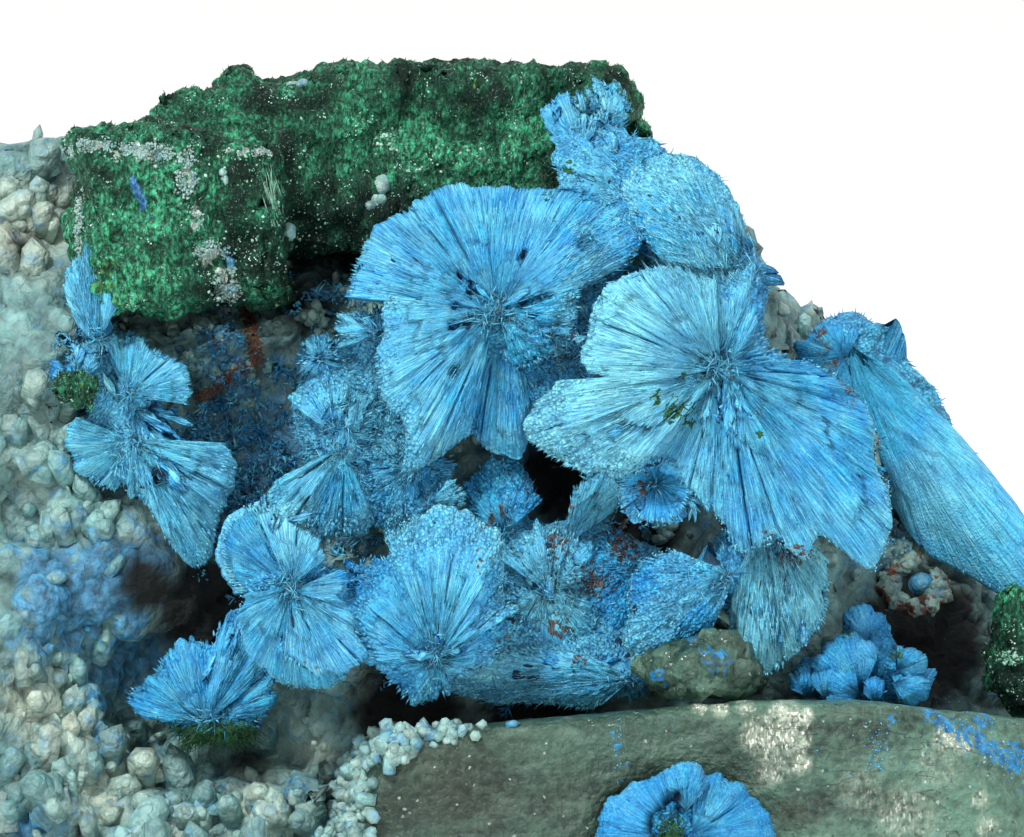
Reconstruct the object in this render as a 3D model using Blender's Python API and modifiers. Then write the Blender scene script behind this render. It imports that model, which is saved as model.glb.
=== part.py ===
"""Shattuckite pseudomorph after malachite: radiating blue sprays and a dark green malachite crust
on a drusy quartz matrix, a loose miniature specimen that stands on its flat broken base.

Everything is laid out in the display frame, in millimetres: x runs across the face to the right,
y away from the viewer and z up it. The whole specimen then leans back on its base.
"""

import math

import bmesh
import bpy
from mathutils import Euler, Matrix, Vector

MM = 0.001
LEAN = math.radians(10)
BASE_SHIFT = Vector((0.0, -4.0, 0.0))
# How far a neighbour is cut back round a piece, so that the two stay about 0.3 mm apart.
ROOM = 0.75
ROOM_VOXEL = 0.5
ROOM_TRIANGLE_SHARE = 0.5
CRUST_VOXEL = 0.6
MATRIX_VOXEL = 0.8
MATRIX_TRIANGLES = 1500
CUT_MATRIX_TRIANGLES = 2200
BASE_DEPTH = 30.0
KNOT_SHARE = 0.8
FLUTE_HEIGHT = 0.16
FLUTE_REACH = 0.022
# Irregular flutes: (waves in a full turn, share of the height, phase).
FLUTE_WAVES = ((47, 0.55, 0.4), (29, 0.45, 2.1), (13, 0.5, 4.0))
COLUMN_DEGREES = 4.0
SPRAY_ROWS = (0.03, 0.25, 0.5, 0.75, 1.0)
SPRAY_VOXEL = 0.30
# A sheet is this much thinner at its rim than at its apex, as a share of its backing.
RIM_THINNING = 0.5

BLUE = (0.10, 0.42, 0.78)
GREEN = (0.03, 0.17, 0.09)
QUARTZ = (0.33, 0.43, 0.38)
LEDGE_QUARTZ = (0.21, 0.26, 0.21)

DISPLAY_TO_WORLD = Matrix.Rotation(-LEAN, 4, "X") @ Matrix.Translation(BASE_SHIFT * MM)

# A spray is (apex, backing, dome, rim). Its fibres run from the apex out to the rim, whose points are
# (degrees anticlockwise from the right, radius, how far the rim stands toward the viewer). Dome
# swells the middle of the sheet toward the viewer, and backing is its thickness.
MAIN_SPRAYS = {
    "crown": ((-0.7, -7.0, 30.4), 1.6, 0.5, (
        (14, 4.8, 0.3), (20, 6.8, 0.3), (30, 7.7, -0.2), (49, 7.0, -1.6), (72, 6.1, -2.8),
        (93, 6.0, -3.4), (123, 6.3, -3.0), (142, 6.7, -2.3), (160, 7.0, -1.6), (174, 6.9, -1.0))),
    "west_lobe": ((-0.8, -7.3, 30.3), 1.5, 0.8, (
        (170, 5.2, -0.7), (189, 5.1, -0.2), (201, 6.0, 0.2), (217, 6.3, 0.3), (232, 6.5, 0.2),
        (240, 8.3, -0.3), (249, 7.3, -0.5), (259, 5.8, -0.8))),
    "south_lobe": ((-0.6, -6.6, 30.3), 1.4, 0.4, (
        (254, 5.6, -0.8), (267, 6.2, -0.8), (280, 6.5, -1.0), (292, 4.6, -1.2))),
    "inner_lobe": ((-0.6, -7.2, 30.3), 1.3, 0.5, (
        (285, 2.9, -0.3), (320, 3.2, 0.2), (350, 3.6, 0.4), (377, 4.0, 0.4))),
    "east_crown": ((9.3, -9.2, 27.8), 1.6, 0.7, (
        (92, 4.0, -0.6), (108, 4.7, -0.4), (121, 5.6, -0.2), (146, 6.4, 0.2), (163, 6.3, 0.2),
        (190, 5.9, 0.2))),
    "east_shoulder": ((9.3, -9.0, 27.7), 1.7, 0.9, (
        (183, 7.4, 0.1), (189, 8.3, 0.1), (197, 9.3, -0.2), (211, 8.4, -0.4), (225, 6.9, -0.5),
        (236, 5.6, -0.8))),
    "east_skirt": ((9.3, -8.8, 27.7), 1.5, 0.6, (
        (230, 5.4, -0.7), (245, 5.3, -0.6), (258, 6.0, -0.5), (273, 7.0, -0.4))),
    "east_wing": ((9.5, -9.3, 27.8), 1.6, 0.8, (
        (266, 6.6, 0.0), (275, 8.5, -0.1), (286, 8.2, 0.1), (293, 9.4, 0.1), (300, 8.8, 0.1),
        (306, 11.3, -0.2), (315, 10.6, -0.3), (325, 9.2, -0.5), (331, 7.9, -0.7), (342, 7.1, -0.9),
        (353, 5.8, -1.1), (368, 3.9, -1.2))),
    "east_tuft": ((9.3, -8.9, 27.9), 1.5, 0.3, (
        (2, 3.4, -1.2), (22, 2.7, -1.0), (45, 3.0, -1.0), (59, 3.7, -1.1), (71, 5.1, -1.4),
        (85, 4.3, -0.8), (98, 4.2, -0.5))),
    "cup": ((6.5, -7.0, 22.7), 0.7, 0.0, (
        (0, 1.6, 1.3), (60, 1.3, 1.6), (120, 1.3, 1.6), (180, 1.7, 1.3), (240, 1.9, 0.9),
        (300, 1.9, 0.9), (360, 1.6, 1.3))),
    "summit_slope": ((10.1, -7.2, 32.3), 2.0, 1.1, (
        (88, 2.6, -1.2), (109, 5.0, -1.2), (128, 6.4, -0.9), (146, 6.2, -0.2), (158, 5.0, 0.5),
        (177, 3.3, 0.6))),
    "summit_back": ((10.6, -6.0, 31.6), 2.0, 0.6, (
        (60, 0.9, -0.4), (84, 2.2, -0.8), (99, 4.6, -1.6), (113, 6.8, -2.2), (126, 6.9, -1.8))),
    "summit_face": ((5.9, -4.9, 35.7), 2.4, 0.8, (
        (74, 1.9, -1.0), (100, 2.9, -1.6), (125, 4.2, -2.0), (150, 4.6, -1.3), (172, 4.1, -0.6),
        (196, 3.0, 0.0))),
    "summit_blade": ((3.2, -3.4, 37.4), 1.2, 0.2, (
        (84, 2.0, -0.6), (106, 3.1, -0.7), (128, 3.0, -0.6), (150, 1.8, -0.4))),
    "summit_tip": ((4.7, -2.8, 38.6), 1.3, 0.2, (
        (50, 1.5, -0.8), (80, 2.3, -1.0), (112, 2.6, -1.0), (140, 1.7, -0.6))),
}
LOWER_SPRAYS = {
    "bud_leaf": ((-9.9, -10.2, 18.0), 1.2, -0.3, (
        (98, 3.4, 0.6), (112, 4.0, 0.9), (130, 4.1, 1.0), (152, 3.5, 0.9), (184, 2.2, 0.5))),
    "bud_crown": ((-9.9, -10.4, 18.0), 1.2, 0.4, (
        (40, 2.2, 0.5), (73, 2.8, 0.7), (95, 3.2, 0.8), (114, 3.6, 0.7))),
    "bud_bowl": ((-9.9, -10.3, 18.0), 1.4, 0.9, (
        (186, 2.3, 0.3), (202, 2.6, 0.1), (228, 3.3, -0.5), (256, 4.2, -1.2), (280, 4.8, -1.6),
        (302, 4.9, -1.6))),
    "bud_fan": ((-9.8, -10.6, 17.9), 1.3, 0.5, (
        (262, 3.3, 0.2), (288, 3.9, 0.5), (313, 4.5, 0.4), (328, 3.7, 0.3), (350, 2.5, 0.2),
        (385, 2.6, 0.0))),
    "tulip_fan": ((-3.4, -10.6, 14.8), 1.6, 0.9, (
        (30, 4.2, -0.9), (48, 4.5, -0.6), (59, 6.0, -0.4), (70, 6.5, -0.4), (84, 6.8, -0.3),
        (98, 6.6, -0.2), (113, 6.1, -0.2))),
    "tulip_side": ((-3.5, -10.3, 14.8), 1.6, 0.9, (
        (108, 5.4, -0.5), (122, 5.3, -0.5), (143, 5.2, -0.6), (165, 4.0, -0.7), (186, 3.2, -0.8))),
    "tulip_foot": ((-3.3, -10.5, 14.8), 1.5, 0.4, (
        (182, 3.1, -0.8), (211, 2.6, -0.8), (235, 2.5, -1.0), (278, 1.7, -0.9), (335, 1.8, -0.6),
        (392, 3.6, -0.6))),
}
LEFT_SPRAYS = {
    "upper_fan": ((-17.4, -6.0, 26.6), 1.4, 0.3, (
        (-8, 2.9, 0.2), (22, 3.1, 0.3), (50, 2.7, 0.3), (86, 2.7, 0.2), (114, 3.0, 0.0))),
    "hanging_tongue": ((-17.1, -5.8, 24.7), 1.6, 1.0, (
        (262, 2.6, -0.4), (281, 3.4, -0.3), (288, 5.4, -0.6), (295, 6.7, -1.2), (303, 6.6, -1.4),
        (315, 5.6, -0.8), (330, 5.1, -0.3), (345, 5.0, -0.2), (357, 4.2, -0.2))),
    "outer_fan": ((-17.1, -5.2, 24.6), 1.5, 0.5, (
        (158, 3.0, -0.8), (172, 3.3, -1.0), (208, 3.1, -1.2), (243, 2.8, -1.2), (264, 2.2, -1.0))),
    "side_tuft": ((-18.2, -5.0, 27.0), 1.6, 0.4, (
        (112, 2.6, -0.6), (140, 2.6, -0.8), (168, 2.5, -0.8), (196, 2.0, -0.6))),
    "plume": ((-18.5, -5.2, 28.4), 1.4, 0.4, (
        (80, 4.2, -0.4), (92, 4.7, -0.4), (104, 4.4, -0.5), (120, 3.2, -0.6))),
}
MIDDLE_SPRAYS = {
    "small_fan": ((-8.0, -5.2, 24.9), 1.5, 0.4, (
        (-12, 2.4, -0.4), (35, 2.4, -0.2), (71, 2.4, -0.2), (115, 2.6, -0.3), (148, 2.5, -0.4))),
    "curtain": ((-7.6, -5.9, 24.3), 1.7, 0.8, (
        (205, 3.6, -0.2), (214, 4.3, 0.0), (227, 4.9, 0.2), (249, 4.4, 0.2), (273, 4.2, 0.0),
        (292, 3.9, -0.3))),
    "stained_face": ((-4.6, -5.0, 23.4), 1.8, 0.7, (
        (172, 2.6, -0.2), (222, 3.2, -0.2), (262, 3.3, -0.2), (300, 2.9, -0.4), (340, 2.3, -0.5),
        (375, 2.0, -0.6))),
    "bract": ((-3.9, -6.0, 21.6), 1.0, 0.2, (
        (-6, 1.7, 0.3), (18, 2.0, 0.5), (48, 1.7, 0.5))),
    "knob": ((-8.7, -4.2, 28.3), 1.6, 0.9, (
        (0, 1.3, -0.9), (72, 1.1, -0.9), (144, 1.2, -0.9), (216, 1.2, -0.9), (288, 1.1, -0.9),
        (360, 1.3, -0.9))),
    "ear": ((-6.0, -5.0, 29.4), 1.3, 0.5, (
        (-10, 1.4, -0.2), (40, 1.2, -0.3), (110, 1.3, -0.3), (165, 2.2, -0.2), (200, 1.9, -0.3))),
}
HOLLOW_SPRAYS = {
    "blue_slab": ((-0.3, -4.4, 20.3), 2.0, 0.6, (
        (42, 2.4, -0.3), (66, 3.0, -0.2), (92, 3.6, -0.2), (120, 3.3, -0.3), (150, 2.2, -0.3))),
    "rusty_spray": ((1.6, -5.2, 17.8), 1.6, 0.5, (
        (5, 2.3, -0.2), (40, 2.8, 0.0), (75, 3.0, 0.1), (110, 2.9, 0.1), (148, 2.5, -0.2))),
    "rusty_skirt": ((1.5, -5.4, 18.0), 1.5, 0.4, (
        (205, 2.0, -0.3), (245, 2.6, -0.2), (278, 3.6, 0.0), (305, 3.3, 0.0), (340, 2.6, -0.2))),
    "slant_slab": ((2.3, -4.4, 19.8), 1.6, 0.4, (
        (34, 3.6, -0.4), (48, 4.9, -0.3), (62, 4.6, -0.3), (80, 3.0, -0.4))),
    "dark_slab": ((5.9, -4.8, 18.9), 2.0, 0.6, (
        (120, 2.2, -0.2), (165, 2.8, -0.1), (205, 3.4, 0.0), (240, 3.8, -0.1), (275, 3.6, -0.3),
        (310, 2.3, -0.5))),
    "seam": ((5.4, -6.4, 13.8), 1.8, 0.5, (
        (150, 2.6, -0.2), (163, 5.2, 0.2), (176, 8.4, 0.7), (184, 8.2, 0.6), (196, 4.2, 0.2),
        (220, 2.4, -0.2))),
}
FRINGE_SPRAYS = {
    "west_pad": ((10.0, -7.9, 18.6), 1.9, 1.0, (
        (158, 3.2, -0.2), (170, 4.2, -0.1), (190, 4.9, 0.1), (206, 5.4, 0.0), (220, 6.0, -0.2),
        (236, 5.6, -0.6), (250, 3.6, -0.8))),
    "fringe": ((11.3, -6.6, 21.6), 1.9, 1.0, (
        (250, 4.8, 0.0), (260, 7.3, 0.1), (273, 7.8, 0.1), (286, 6.7, 0.0), (298, 6.2, -0.2),
        (308, 5.2, -0.5), (322, 4.0, -0.8))),
}
RIGHT_SPRAYS = {
    "long_slope": ((15.6, 3.0, 29.0), 2.6, 1.1, (
        (272, 3.2, -0.6), (280, 5.2, -0.4), (288, 9.6, -0.1), (295, 11.6, 0.3), (303, 14.2, 1.0),
        (310, 15.6, 1.0), (314, 12.6, 0.4), (319, 8.4, -0.2), (324, 5.4, -0.4), (330, 3.0, -0.4))),
    "peak": ((15.4, 2.6, 28.4), 2.4, 0.5, (
        (60, 1.4, -0.6), (100, 1.6, -0.8), (150, 2.2, -0.8), (200, 2.6, -0.8), (240, 2.8, -0.6),
        (285, 3.2, -0.4))),
}
NOOK_SPRAYS = {
    "west_bud": ((13.6, -5.0, 13.9), 1.6, 0.9, (
        (0, 1.5, -0.7), (90, 1.3, -0.7), (180, 1.4, -0.7), (270, 1.5, -0.7), (360, 1.5, -0.7))),
    "middle_bud": ((15.6, -4.7, 14.6), 1.8, 1.0, (
        (0, 1.6, -0.8), (60, 1.8, -0.8), (120, 1.7, -0.9), (180, 1.5, -0.8), (240, 1.8, -0.8),
        (300, 1.8, -0.8), (360, 1.6, -0.8))),
    "east_bud": ((17.7, -4.4, 13.9), 1.8, 0.9, (
        (0, 1.4, -0.8), (72, 1.6, -0.8), (144, 1.4, -0.8), (216, 1.6, -0.8), (288, 1.6, -0.8),
        (360, 1.4, -0.8))),
    "high_bud": ((16.6, -3.6, 16.2), 1.4, 0.7, (
        (0, 1.2, -0.7), (120, 1.1, -0.7), (240, 1.3, -0.7), (360, 1.2, -0.7))),
}
CORNER_SPRAYS = {
    "split_fan": ((-13.9, -5.2, 11.8), 1.7, 0.7, (
        (38, 3.6, -0.3), (50, 4.6, -0.2), (64, 5.5, -0.1), (79, 5.3, -0.2), (88, 3.9, -0.5),
        (100, 4.0, -0.4), (118, 3.8, -0.5), (142, 3.4, -0.7), (164, 4.0, -0.9), (178, 3.0, -1.0))),
    "root": ((-13.4, -5.2, 12.0), 1.6, 0.4, (
        (172, 2.6, -0.5), (205, 1.8, -0.4), (270, 1.3, -0.4), (335, 1.9, -0.4), (402, 3.4, -0.3))),
}
LEDGE_SPRAYS = {
    "left_half": ((7.4, -13.0, 7.0), 1.5, 0.9, (
        (86, 2.6, -0.8), (112, 2.7, -0.8), (142, 3.0, -0.9), (180, 3.4, -1.0), (214, 3.2, -1.0),
        (262, 2.6, -0.8))),
    "right_half": ((8.0, -13.1, 7.1), 1.5, 1.0, (
        (-90, 2.6, -0.8), (-52, 3.2, -1.0), (-16, 3.4, -1.0), (18, 3.0, -0.9), (52, 2.7, -0.9),
        (88, 2.5, -0.8))),
}

# A lump is (centre, half sizes, turn about y and z in degrees). Lumps of one mass overlap.
ROOTS = {
    "shattuckite_main_rosettes": (
        ((4.2, -5.4, 29.2), (7.6, 1.5, 3.6), (-10, 0)), ((8.6, -4.6, 31.2), (3.4, 2.6, 4.0), (0, 0)),
        ((5.2, -3.6, 35.4), (2.8, 2.4, 3.6), (20, 0)), ((7.8, -6.4, 24.6), (2.6, 1.6, 2.6), (0, 0))),
    "shattuckite_lower_rosettes": (((-6.8, -8.6, 17.0), (4.2, 1.8, 2.2), (-12, 0)),),
    "shattuckite_left_rosettes": (((-17.5, -4.0, 26.2), (1.9, 1.9, 3.8), (0, 0)),),
    "shattuckite_middle_sprays": (((-6.9, -3.6, 25.2), (3.4, 1.8, 4.0), (-30, 0)),),
    "shattuckite_hollow_sprays": (
        ((2.6, -3.4, 18.6), (4.4, 1.8, 2.8), (0, 0)), ((3.0, -4.6, 14.8), (4.6, 1.6, 1.9), (0, 0))),
    "shattuckite_hanging_fringe": (((11.0, -5.4, 19.0), (2.4, 2.2, 2.8), (0, 0)),),
    "shattuckite_right_slope": (((17.4, 4.2, 25.6), (3.0, 2.4, 4.6), (-40, 0)),),
    "shattuckite_nook_buds": (((15.7, -3.2, 13.4), (3.0, 1.7, 1.3), (0, 0)),),
    "shattuckite_corner_spray": (((-14.0, -3.8, 12.6), (2.4, 1.8, 2.0), (0, 0)),),
    "shattuckite_ledge_rosette": (((7.7, -11.8, 6.9), (1.8, 1.4, 1.9), (0, 0)),),
}
MALACHITE_CRUST = (
    ((-17.2, -4.4, 34.6), (2.7, 3.6, 4.2), (-6, 6)), ((-12.5, -3.5, 34.7), (2.4, 3.4, 3.7), (4, -6)),
    ((-11.4, 1.6, 37.4), (4.9, 3.8, 3.6), (-4, 0)), ((-12.3, 1.4, 40.2), (1.5, 1.9, 1.3), (30, 0)),
    ((-7.2, 2.0, 36.6), (3.2, 3.4, 3.7), (6, 0)), ((-1.8, 3.6, 38.3), (6.6, 4.6, 3.6), (1, 4)),
    ((4.2, 3.0, 37.6), (1.7, 3.8, 2.6), (-24, 0)), ((-3.0, 9.4, 37.4), (6.2, 3.4, 3.0), (-4, 10)),
    ((-13.2, 6.6, 36.0), (3.4, 3.2, 3.0), (10, 20)),
)
MALACHITE_EAST = (
    ((23.4, -2.0, 15.0), (1.7, 1.8, 2.6), (10, 10)), ((25.2, -1.2, 13.6), (2.0, 2.0, 2.1), (-12, 0)),
    ((22.6, -2.8, 16.8), (0.8, 0.8, 1.7), (4, 0)),
)
MALACHITE_WEST = (
    ((-19.7, -6.3, 26.9), (1.0, 0.7, 0.7), (10, 10)), ((-18.9, -6.2, 26.5), (0.7, 0.6, 0.5), (-20, 0)),
)
MATRIX_LUMPS = (
    ((0, 6, 11.6), (24, 9.4, 14.4), (0, 0)), ((-20, 4, 24), (7.2, 8.6, 11), (0, 0)),
    ((-22, 6, 31), (5.4, 7, 8), (-8, 0)), ((-23.6, 2, 10), (6.6, 8, 11), (0, 0)),
    ((-17, -3, 3), (8.4, 6.6, 6), (0, 0)), ((-6, 5.4, 27), (12, 7, 8), (0, 0)),
    ((4, 5.4, 30), (9, 7, 8), (0, 0)), ((1, 13, 20), (18, 8, 15), (0, 0)),
    ((11.4, 5, 23.4), (6.2, 6.4, 6), (0, 0)), ((17, 8, 18.2), (6.6, 7.0, 5.6), (-24, 0)),
    ((23.0, 6, 8), (6.6, 7.4, 9), (0, 0)), ((9, 0, 2.4), (17, 12, 4.4), (0, 0)),
    ((-6, -4.6, 2), (13, 6.2, 4.6), (0, 0)), ((-12, -4, 5.8), (5, 4, 3.8), (0, 0)),
    ((-6.4, -4.8, 8.0), (3.6, 4, 2.8), (0, 0)), ((-24.4, -0.6, 22), (3, 3.6, 4), (0, 0)),
    ((-21.4, -1.6, 18), (3.6, 3.4, 3.2), (0, 0)), ((-16.6, -1.8, 18), (3, 2.6, 3), (0, 0)),
    ((-10, 14, 30), (7, 4, 6), (0, 0)), ((12, 13, 8), (9, 5, 9), (0, 0)),
    ((-15, 12, 9), (7.6, 5, 10), (0, 0)), ((21, 1, 4.6), (7.6, 8, 5.4), (0, 0)),
    ((-7.0, -3.4, 16.2), (3.6, 4.6, 3.0), (0, 0)), ((9.4, -3.6, 17.4), (2.6, 3.6, 2.6), (0, 0)),
    ((16.4, -0.6, 12.4), (3.4, 3.0, 2.2), (0, 0)), ((-13.0, -0.6, 30.0), (3.4, 4.4, 2.2), (0, 0)),
    ((-3.6, 0.6, 22.6), (4.6, 4.4, 4.0), (0, 0)),
)

# A crystal is (foot, length, radius, tilt from upright to the right, lean to the viewer, in degrees).
MATRIX_CRYSTALS = (
    ((-22.0, -2.6, 7.0), 6.0, 1.3, -30, 40), ((-19.6, -5.0, 5.0), 6.0, 1.2, -12, 30),
    ((-16.4, -7.0, 2.6), 6.2, 1.4, 6, 34), ((-25.0, -2.6, 12.0), 5.0, 1.2, -55, 35),
    ((-12.8, -6.6, 4.0), 5.2, 1.3, 16, 46), ((-9.4, -7.6, 3.6), 5.2, 1.2, 12, 40),
    ((-26.0, 0.0, 19.0), 4.6, 1.3, -70, 20), ((-25.0, 3.0, 28.0), 5.0, 1.5, -50, 10),
    ((-23.0, 3.0, 35.4), 4.2, 1.5, -24, 12), ((-19.6, 7.0, 35.0), 4.6, 1.4, -6, -16),
    ((-11.0, 16.0, 32.0), 4.6, 1.4, -14, -50), ((-18.0, 15.0, 20.0), 5.0, 1.6, -50, -70),
    ((-4.0, 19.0, 26.0), 5.0, 1.5, 10, -76), ((8.0, 18.0, 20.0), 5.4, 1.7, 24, -80),
    ((16.0, 16.4, 12.0), 5.0, 1.5, 50, -70), ((2.0, 19.0, 12.0), 4.6, 1.4, -20, -94),
    ((-9.0, 18.4, 10.0), 4.8, 1.5, -30, -86), ((26.6, 8.0, 12.0), 5.0, 1.5, 76, -20),
    ((22.6, 12.0, 13.4), 4.8, 1.4, 50, -40), ((-6.5, -0.4, 27.6), 2.6, 0.8, -20, 70),
    ((-14.6, -3.4, 29.4), 2.6, 0.7, 150, 60), ((-12.4, -3.4, 29.6), 2.4, 0.8, 130, 55),
    ((-8.0, -0.6, 32.4), 2.2, 0.6, 160, 60), ((-10.4, -2.6, 31.2), 2.0, 0.6, 30, 70),
)
STUB = ((8.8, -7.4, 11.0), 6.2, 2.9, -8, 4)

LEDGE_CENTRE = (9.4, -8.0, 5.2)
LEDGE_HALF_SIZE = (18.0, 3.6, 7.8)
# Planes that trim the ledge: (a point on it, the outward direction of what is cut away).
LEDGE_FACETS = (
    ((-6.4, -8.0, 11.0), (-0.62, 0.0, 1.0)), ((-8.0, -8.0, 6.0), (-1.0, -0.25, 0.3)),
    ((2.0, -8.0, 12.2), (-0.08, 0.06, 1.0)), ((16.0, -8.0, 12.9), (0.10, 0.04, 1.0)),
    ((0.0, -11.2, 12.0), (-0.05, -1.0, 0.8)), ((18.0, -11.3, 11.6), (0.3, -1.0, 0.7)),
    ((0.0, -11.4, 5.0), (-0.06, -1.0, -0.3)), ((14.0, -11.2, 3.0), (0.1, -1.0, -0.5)),
    ((25.6, -9.0, 8.0), (1.0, -0.25, 0.2)), ((22.6, -10.8, 9.6), (0.7, -1.0, 0.3)),
    ((20.0, -4.6, 9.0), (0.3, 1.0, 0.2)),
)

# Node name: its sprays or lumps, and about how many triangles it keeps.
CLUSTERS = {
    "shattuckite_main_rosettes": (MAIN_SPRAYS, 2000),
    "shattuckite_lower_rosettes": (LOWER_SPRAYS, 800),
    "shattuckite_left_rosettes": (LEFT_SPRAYS, 520),
    "shattuckite_middle_sprays": (MIDDLE_SPRAYS, 480),
    "shattuckite_hollow_sprays": (HOLLOW_SPRAYS, 520),
    "shattuckite_hanging_fringe": (FRINGE_SPRAYS, 300),
    "shattuckite_right_slope": (RIGHT_SPRAYS, 300),
    "shattuckite_nook_buds": (NOOK_SPRAYS, 240),
    "shattuckite_corner_spray": (CORNER_SPRAYS, 260),
    "shattuckite_ledge_rosette": (LEDGE_SPRAYS, 220),
}
CRUSTS = {
    "malachite_crust": (MALACHITE_CRUST, 1000),
    "malachite_east_knob": (MALACHITE_EAST, 180),
    "malachite_west_knob": (MALACHITE_WEST, 80),
}


def clear_scene():
    for obj in list(bpy.data.objects):
        bpy.data.objects.remove(obj, do_unlink=True)


def new_collection(name, hidden=False):
    collection = bpy.data.collections.new(name)
    collection.hide_render = hidden
    bpy.context.scene.collection.children.link(collection)
    return collection


def material(name, colour, roughness):
    made = bpy.data.materials.new(name)
    made.use_nodes = True
    shader = made.node_tree.nodes["Principled BSDF"]
    shader.inputs["Base Color"].default_value = (*colour, 1.0)
    shader.inputs["Roughness"].default_value = roughness
    return made


def object_from(bm, name, collection):
    mesh = bpy.data.meshes.new(name)
    bm.to_mesh(mesh)
    bm.free()
    obj = bpy.data.objects.new(name, mesh)
    collection.objects.link(obj)
    return obj


def evaluated_bmesh(obj):
    """The object's mesh in world space, with its modifiers applied."""
    bpy.context.view_layer.update()
    depsgraph = bpy.context.evaluated_depsgraph_get()
    bm = bmesh.new()
    bm.from_object(obj, depsgraph)
    bm.transform(obj.matrix_world)
    return bm


def applied(obj, name, collection):
    """The object replaced by a plain mesh of what its modifiers make."""
    bm = evaluated_bmesh(obj)
    bpy.data.objects.remove(obj, do_unlink=True)
    return object_from(bm, name, collection)


def catmull(before, start, end, after, share):
    """A smooth curve through start and end that leaves them toward their neighbours."""
    return 0.5 * (
        2 * start + (end - before) * share + (2 * before - 5 * start + 4 * end - after) * share ** 2
        + (3 * start - before - 3 * end + after) * share ** 3)


def rim_at(rim, degrees):
    """Radius and stand toward the viewer at this angle, on a smooth curve through the rim's points."""
    last = len(rim) - 1
    i = next((i for i in range(last) if degrees <= rim[i + 1][0]), last - 1)
    share = (degrees - rim[i][0]) / (rim[i + 1][0] - rim[i][0])
    around = [rim[min(max(k, 0), last)] for k in (i - 1, i, i + 1, i + 2)]
    return tuple(catmull(*(point[part] for point in around), share) for part in (1, 2))


def flute(degrees):
    """The height of the flutes at this angle, from -1 to 1 or a little over."""
    turn = math.radians(degrees)
    return sum(share * math.sin(waves * turn + phase) for waves, share, phase in FLUTE_WAVES)


def spray(name, apex, backing, dome, rim, collection):
    """A fluted sheet from the apex out to the rim, thickened away from the viewer."""
    first, last = rim[0][0], rim[-1][0]
    columns = round((last - first) / COLUMN_DEGREES)
    rows = len(SPRAY_ROWS) - 1
    bm = bmesh.new()
    bmesh.ops.create_grid(bm, x_segments=columns, y_segments=rows, size=1)
    weights = bm.verts.layers.deform.verify()
    for vert in bm.verts:
        column = round((vert.co.x + 1) / 2 * columns)
        share = SPRAY_ROWS[round((vert.co.y + 1) / 2 * rows)]
        vert[weights][0] = 1 - RIM_THINNING * share
        degrees = first + (last - first) * column / columns
        radius, toward = rim_at(rim, degrees)
        wave = flute(degrees) * share
        reach = share * radius * (1 + wave * FLUTE_REACH)
        swell = dome * 4 * share * (1 - share)
        angle = math.radians(degrees)
        vert.co = (
            apex[0] + reach * math.cos(angle),
            apex[1] - toward * share - swell - wave * FLUTE_HEIGHT,
            apex[2] + reach * math.sin(angle),
        )
    if last - first >= 360:
        bmesh.ops.remove_doubles(bm, verts=bm.verts, dist=0.01)
    bmesh.ops.recalc_face_normals(bm, faces=bm.faces)
    if sum(face.normal.y * face.calc_area() for face in bm.faces) > 0:
        bmesh.ops.reverse_faces(bm, faces=bm.faces)
    bm.transform(Matrix.Scale(MM, 4))
    obj = object_from(bm, name, collection)
    shell = obj.modifiers.new("backing", "SOLIDIFY")
    shell.thickness = backing * MM
    shell.offset = -1
    shell.vertex_group = obj.vertex_groups.new(name="thickness").name
    return obj


def lumps_bmesh(lumps):
    """Overlapping rounded lumps, given in display millimetres."""
    bm = bmesh.new()
    for centre, half_size, (turn_y, turn_z) in lumps:
        turn = Euler((0, math.radians(turn_y), math.radians(turn_z))).to_matrix().to_4x4()
        size = Matrix.Diagonal((*half_size, 1))
        place = Matrix.Scale(MM, 4) @ Matrix.Translation(centre) @ turn @ size
        bmesh.ops.create_icosphere(bm, subdivisions=3, radius=1, matrix=place)
    return bm


def blocks_bmesh(blocks):
    """Overlapping boxes, given in display millimetres."""
    bm = bmesh.new()
    for centre, half_size, (turn_y, turn_z) in blocks:
        turn = Euler((0, math.radians(turn_y), math.radians(turn_z))).to_matrix().to_4x4()
        size = Matrix.Diagonal((*(2 * s for s in half_size), 1))
        place = Matrix.Scale(MM, 4) @ Matrix.Translation(centre) @ turn @ size
        bmesh.ops.create_cube(bm, size=1, matrix=place)
    return bm


def fused(obj, voxel, name, collection):
    """Overlapping closed shells made one closed surface."""
    fuse = obj.modifiers.new("fuse", "REMESH")
    fuse.mode = "VOXEL"
    fuse.voxel_size = voxel * MM
    return applied(obj, name, collection)


def roughen(obj, kind, grain, height):
    """Relief of this grain and height, in millimetres, from one of Blender's own textures."""
    texture = bpy.data.textures.new(f"{obj.name}_{kind.lower()}_{grain}", kind)
    texture.noise_scale = grain * MM
    rough = obj.modifiers.new(f"{kind.lower()}_{grain}", "DISPLACE")
    rough.texture = texture
    rough.texture_coords = "GLOBAL"
    rough.strength = height * MM
    rough.mid_level = 0.5


def thin_to(obj, triangles):
    """Leaves about this many triangles, where the shape needs them most."""
    bm = evaluated_bmesh(obj)
    count = sum(len(face.verts) - 2 for face in bm.faces)
    bm.free()
    thin = obj.modifiers.new("thin", "DECIMATE")
    thin.ratio = min(1.0, triangles / count)


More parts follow.
